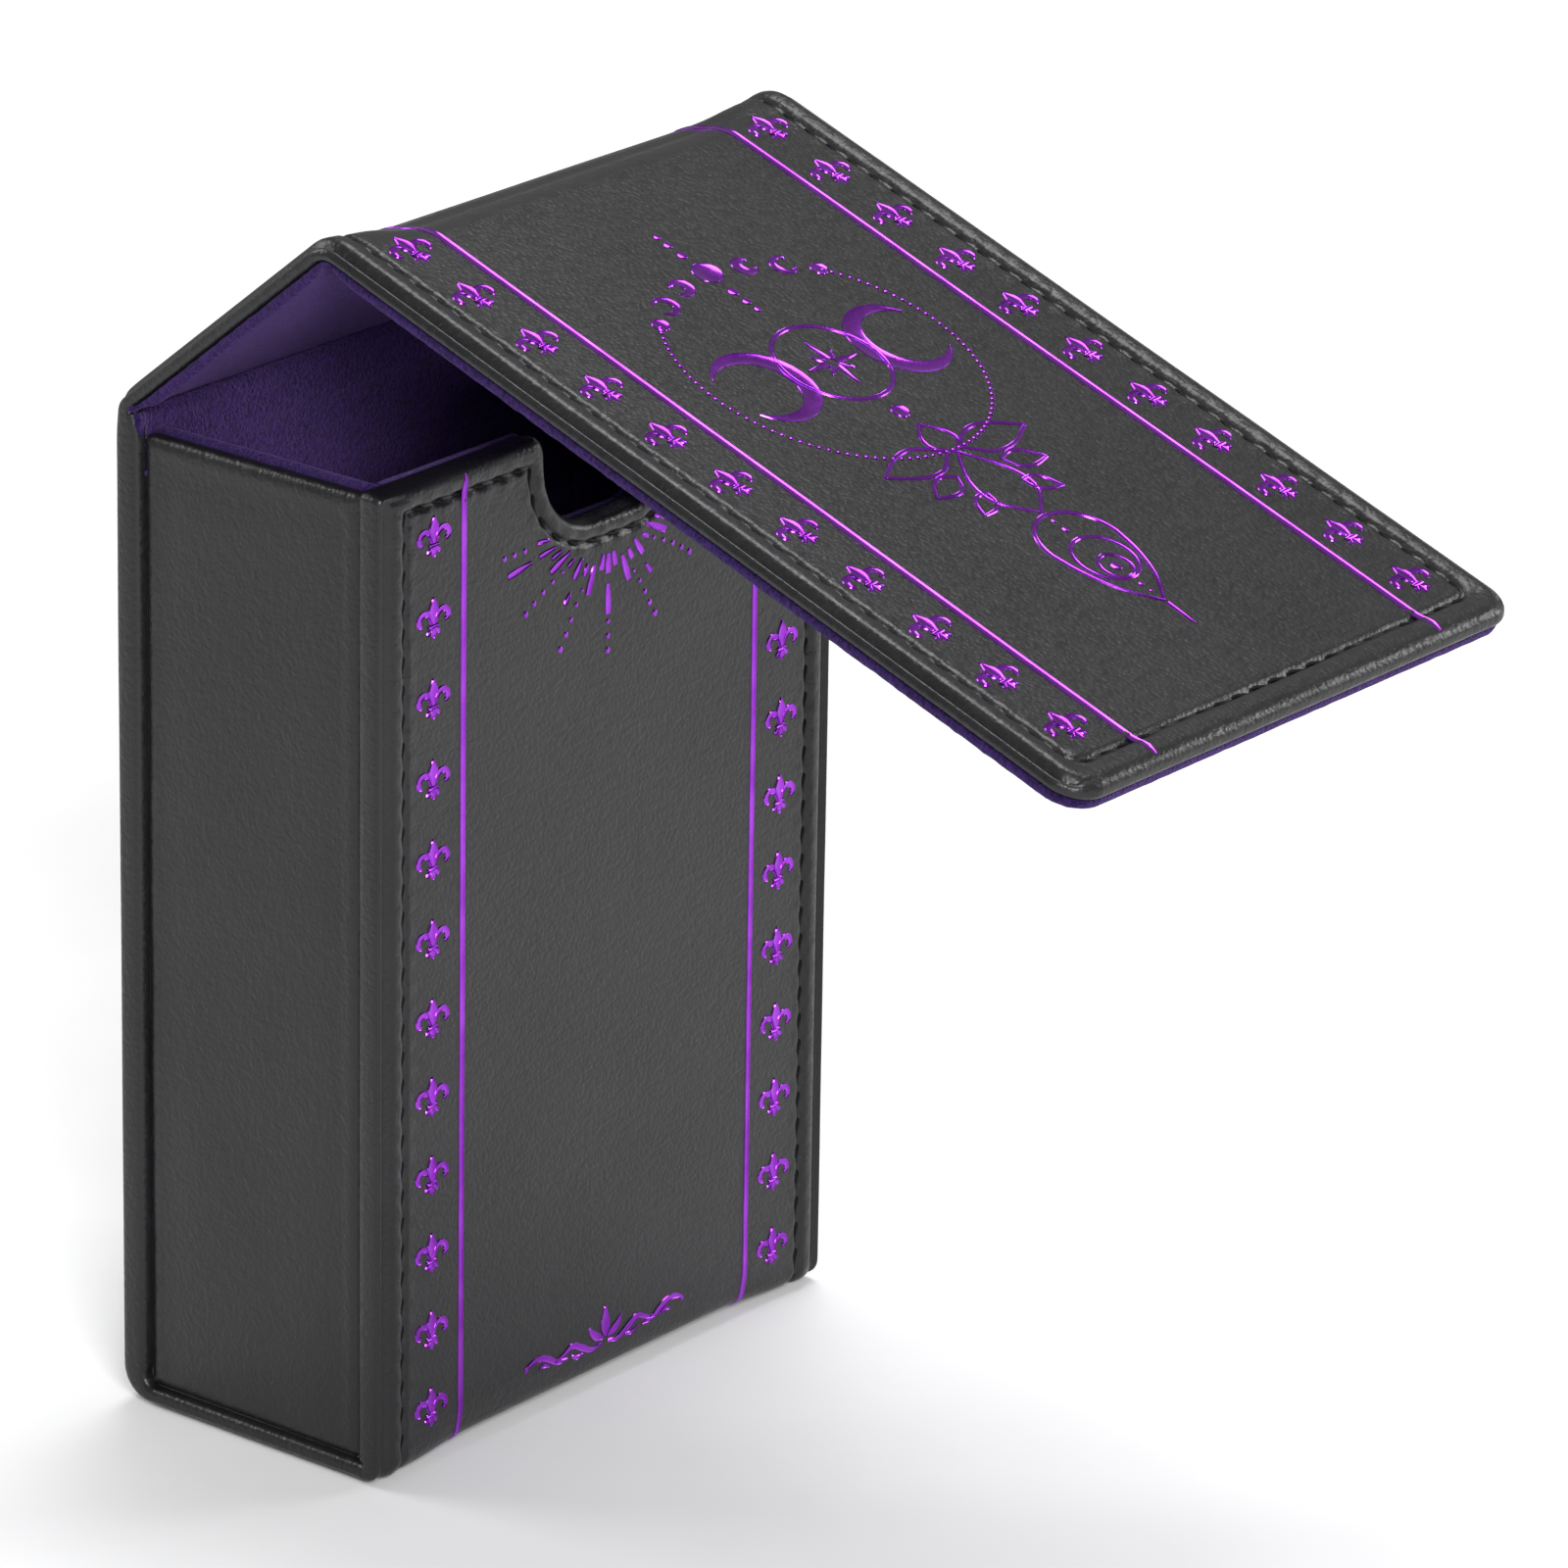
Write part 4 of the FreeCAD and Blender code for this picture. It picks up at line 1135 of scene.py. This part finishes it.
def scroll():
    """A small three-leaved bud between two waved tendrils, at the foot of the front."""
    stamp = Stamp().at(0, 6.2)
    stamp.ribbon(straight((0, 0.2), (0, 4.5)), tapered(0.2, 0.75, 0.8, 0.45, 0.03), 12)
    stamp.both([(0.5, 0.1), (1.6, 0.6), (2.5, 1.3), (3.1, 2.3)], tapered(0.2, 0.6, 0.5, 0.04), 10)
    stamp.both([(0.6, -0.7), (2.6, -0.9), (4.6, 0.1), (6.4, 0.9), (8.2, 0.2), (9.8, -0.3)],
               tapered(0.1, 0.34, 0.48, 0.4, 0.3, 0.1), 20)
    stamp.both([(7.4, -0.6), (9.4, -0.4), (11.2, 0.7), (13.2, 1.3), (15.2, 0.8), (15.6, 0.1)],
               tapered(0.06, 0.32, 0.46, 0.36, 0.22, 0.1), 20)
    stamp.both([(11.0, -0.5), (12.0, 0.0), (12.9, -0.2)], tapered(0.06, 0.28, 0.1), 8)
    stamp.both([(4.2, -0.9), (5.4, -1.1), (6.6, -0.5)], tapered(0.05, 0.26, 0.05), 8)
    stamp.press("scroll_foil", FRONT_SEAMS, front_station, body="box")


def petal(stamp, base, tip, half):
    """The outline of a pointed petal, from its base to its tip."""
    base, tip = Vector(base), Vector(tip)
    sideways = Vector((base.y - tip.y, tip.x - base.x)).normalized() * half
    for side in (-1, 1):
        low = base.lerp(tip, 0.3) + side * 0.9 * sideways
        high = base.lerp(tip, 0.62) + side * 0.85 * sideways
        stamp.ribbon(curve([base, low, high, tip]), tapered(0.16, 0.24, 0.24, 0.14), 16)


def crescent(stamp, x, y, radius, half, opening):
    """A moon sickle whose horns point along the opening angle."""
    stamp.ribbon(arc(x, y, radius, opening + 38, opening + 322), leaf(half), 24)


def moon_ornament():
    """Phases of the moon over a dotted ring with a star, then petals and a pendant drop."""
    stamp = Stamp().at(ART_X, -3.7)
    for y, radius in ((-11.5, 0.5), (-13.4, 0.65), (-15.8, 0.75), (-24.4, 0.8), (-26.7, 0.65), (-28.5, 0.5)):
        stamp.dot(0, y, radius)
    stamp.dot(0, -20, 2.05, 14)
    for side, opening in ((-1, 180), (1, 0)):
        crescent(stamp, side * 6.3, -21.0, 1.3, 0.72, opening)
        crescent(stamp, side * 11.4, -23.0, 1.55, 0.46, opening)
        stamp.dot(side * 15.2, -25.6, 1.15, 8)
        crescent(stamp, side * 13.3, -41.0, 6.3, 1.35, opening)
    ring_y, ring_radius = -40.0, 21.0
    for number in range(83):
        angle = math.radians(90 + 48 + number * (360 - 96) / 82)
        stamp.dot(ring_radius * math.cos(angle), ring_y + ring_radius * math.sin(angle), 0.36, 4)
    stamp.ring(0, -41.0, 7.7, 0.24)
    centre = Vector((0, -41.0))
    for number in range(8):
        angle = math.radians(45 * number)
        reach = 4.6 if number % 2 == 0 else 2.8
        outward = Vector((math.cos(angle), math.sin(angle)))
        stamp.ribbon(straight(centre + outward * 0.8, centre + outward * reach),
                     tapered(0.45, 0.36, 0.2, 0.03), 8)
    stamp.dot(0, -52.2, 1.2, 8)
    petal(stamp, (0, -61.6), (0, -55.2), 2.6)
    for side in (-1, 1):
        petal(stamp, (side * 1.2, -61.0), (side * 13.6, -61.4), side * 2.7)
        petal(stamp, (side * 4.3, -65.2), (side * 10.6, -67.4), side * 1.7)
        petal(stamp, (side * 3.4, -69.4), (side * 7.6, -72.6), side * 1.4)
    petal(stamp, (0, -75.4), (0, -61.6), 4.4)
    stamp.ribbon(arc(0, -82.2, 6.2, 0, 180), lambda share: 0.26, 30)
    stamp.both([(6.2, -82.2), (5.4, -86.4), (3.4, -91.0), (0.0, -95.2)], tapered(0.26, 0.26, 0.22, 0.12), 16)
    stamp.ring(0, -85.6, 4.3, 0.2)
    stamp.ring(0, -87.4, 2.3, 0.2)
    stamp.dot(0, -87.4, 0.8, 8)
    for y, radius in ((-77.3, 0.4), (-79.2, 0.5), (-91.4, 0.4), (-93.0, 0.3)):
        stamp.dot(0, y, radius)
    stamp.ribbon(straight((0, -95.6), (0, -100.2)), tapered(0.3, 0.26, 0.18, 0.03), 8)
    stamp.press("moon_foil", FLAP_SEAMS, flap_station, body="flap")


# ---- the whole object

studio()
front_skin()
back_skin()
flap_skin()
side_panel("left", -1)
side_panel("right", 1)
front_velvet()
lid_velvet()
# The side velvets stand just proud of the leather's top edge.
for wall, raised in (("left_lining", 0.7), ("right_lining", 0.7), ("base_lining", 0)):
    low, high = cad(wall)
    velvet_slab(wall, low, high + Vector((0, 0, raised)))
# The back's velvet stops where the lid's velvet takes over.
back_low, back_high = cad("back_lining")
back_high.z = FRONT_TOP - 5.5
velvet_slab("back_lining", back_low, back_high)
foam_sheet("front_foam_sheet", "front_foam", 2.4, S_FRONT - 1, "box", notched=True)
foam_sheet("back_foam_sheet", "back_foam", S_BACK + 1, S_HINGE - 1, "box")
foam_sheet("lid_foam_sheet", "lid_top_foam", S_LID + 4, S_FOLD - 3.5, "lid_top")
foam_sheet("flap_foam_sheet", "flap_foam", S_FLAP + 3.5, S_TIP - 2.6, "flap")
stitches("front_thread", FRONT_SEAMS, ("front_stitching",), body="box")
stitches("back_thread", BACK_SEAMS, ("back_stitching", "lid_top_stitching"), bend=REAR_BLEND)
stitches("flap_thread", FLAP_SEAMS, ("flap_stitching",), bend=FOLD_BLEND)
foil_lines("front_foil_lines", FRONT_TOP - 0.8, -3.0, 0.36, FRONT_SEAMS, front_station,
           nodes=("front_foil",), body="box")
foil_lines("lid_foil_lines", S_FOLD - S_LID - 5.0, 2.5, 0.5, FLAP_SEAMS, lid_station,
           nodes=("lid_top_foil",), body="lid_top")
foil_lines("flap_foil_lines", S_FLAP - S_FOLD + 2.5, -FLAP_REACH + 1.2, 0.5, FLAP_SEAMS, flap_station,
           nodes=("flap_foil",), bend=FOLD_BLEND)
fleurs("front_lilies", FRONT_FLEUR, 0.98, FRONT_SEAMS, front_station, body="box")
fleurs("flap_lilies", FLAP_FLEUR, 1.06, FLAP_SEAMS, flap_station, bend=FOLD_BLEND)
sunburst()
scroll()
moon_ornament()

CAD_FINISHES = {"board": GREYBOARD, "magnets": NICKEL, "discs": ZINC}
for node_name, thing in frame["nodes"].items():
    for ending, material in CAD_FINISHES.items():
        if node_name.endswith(ending):
            thing.data.materials.clear()
            thing.data.materials.append(material)
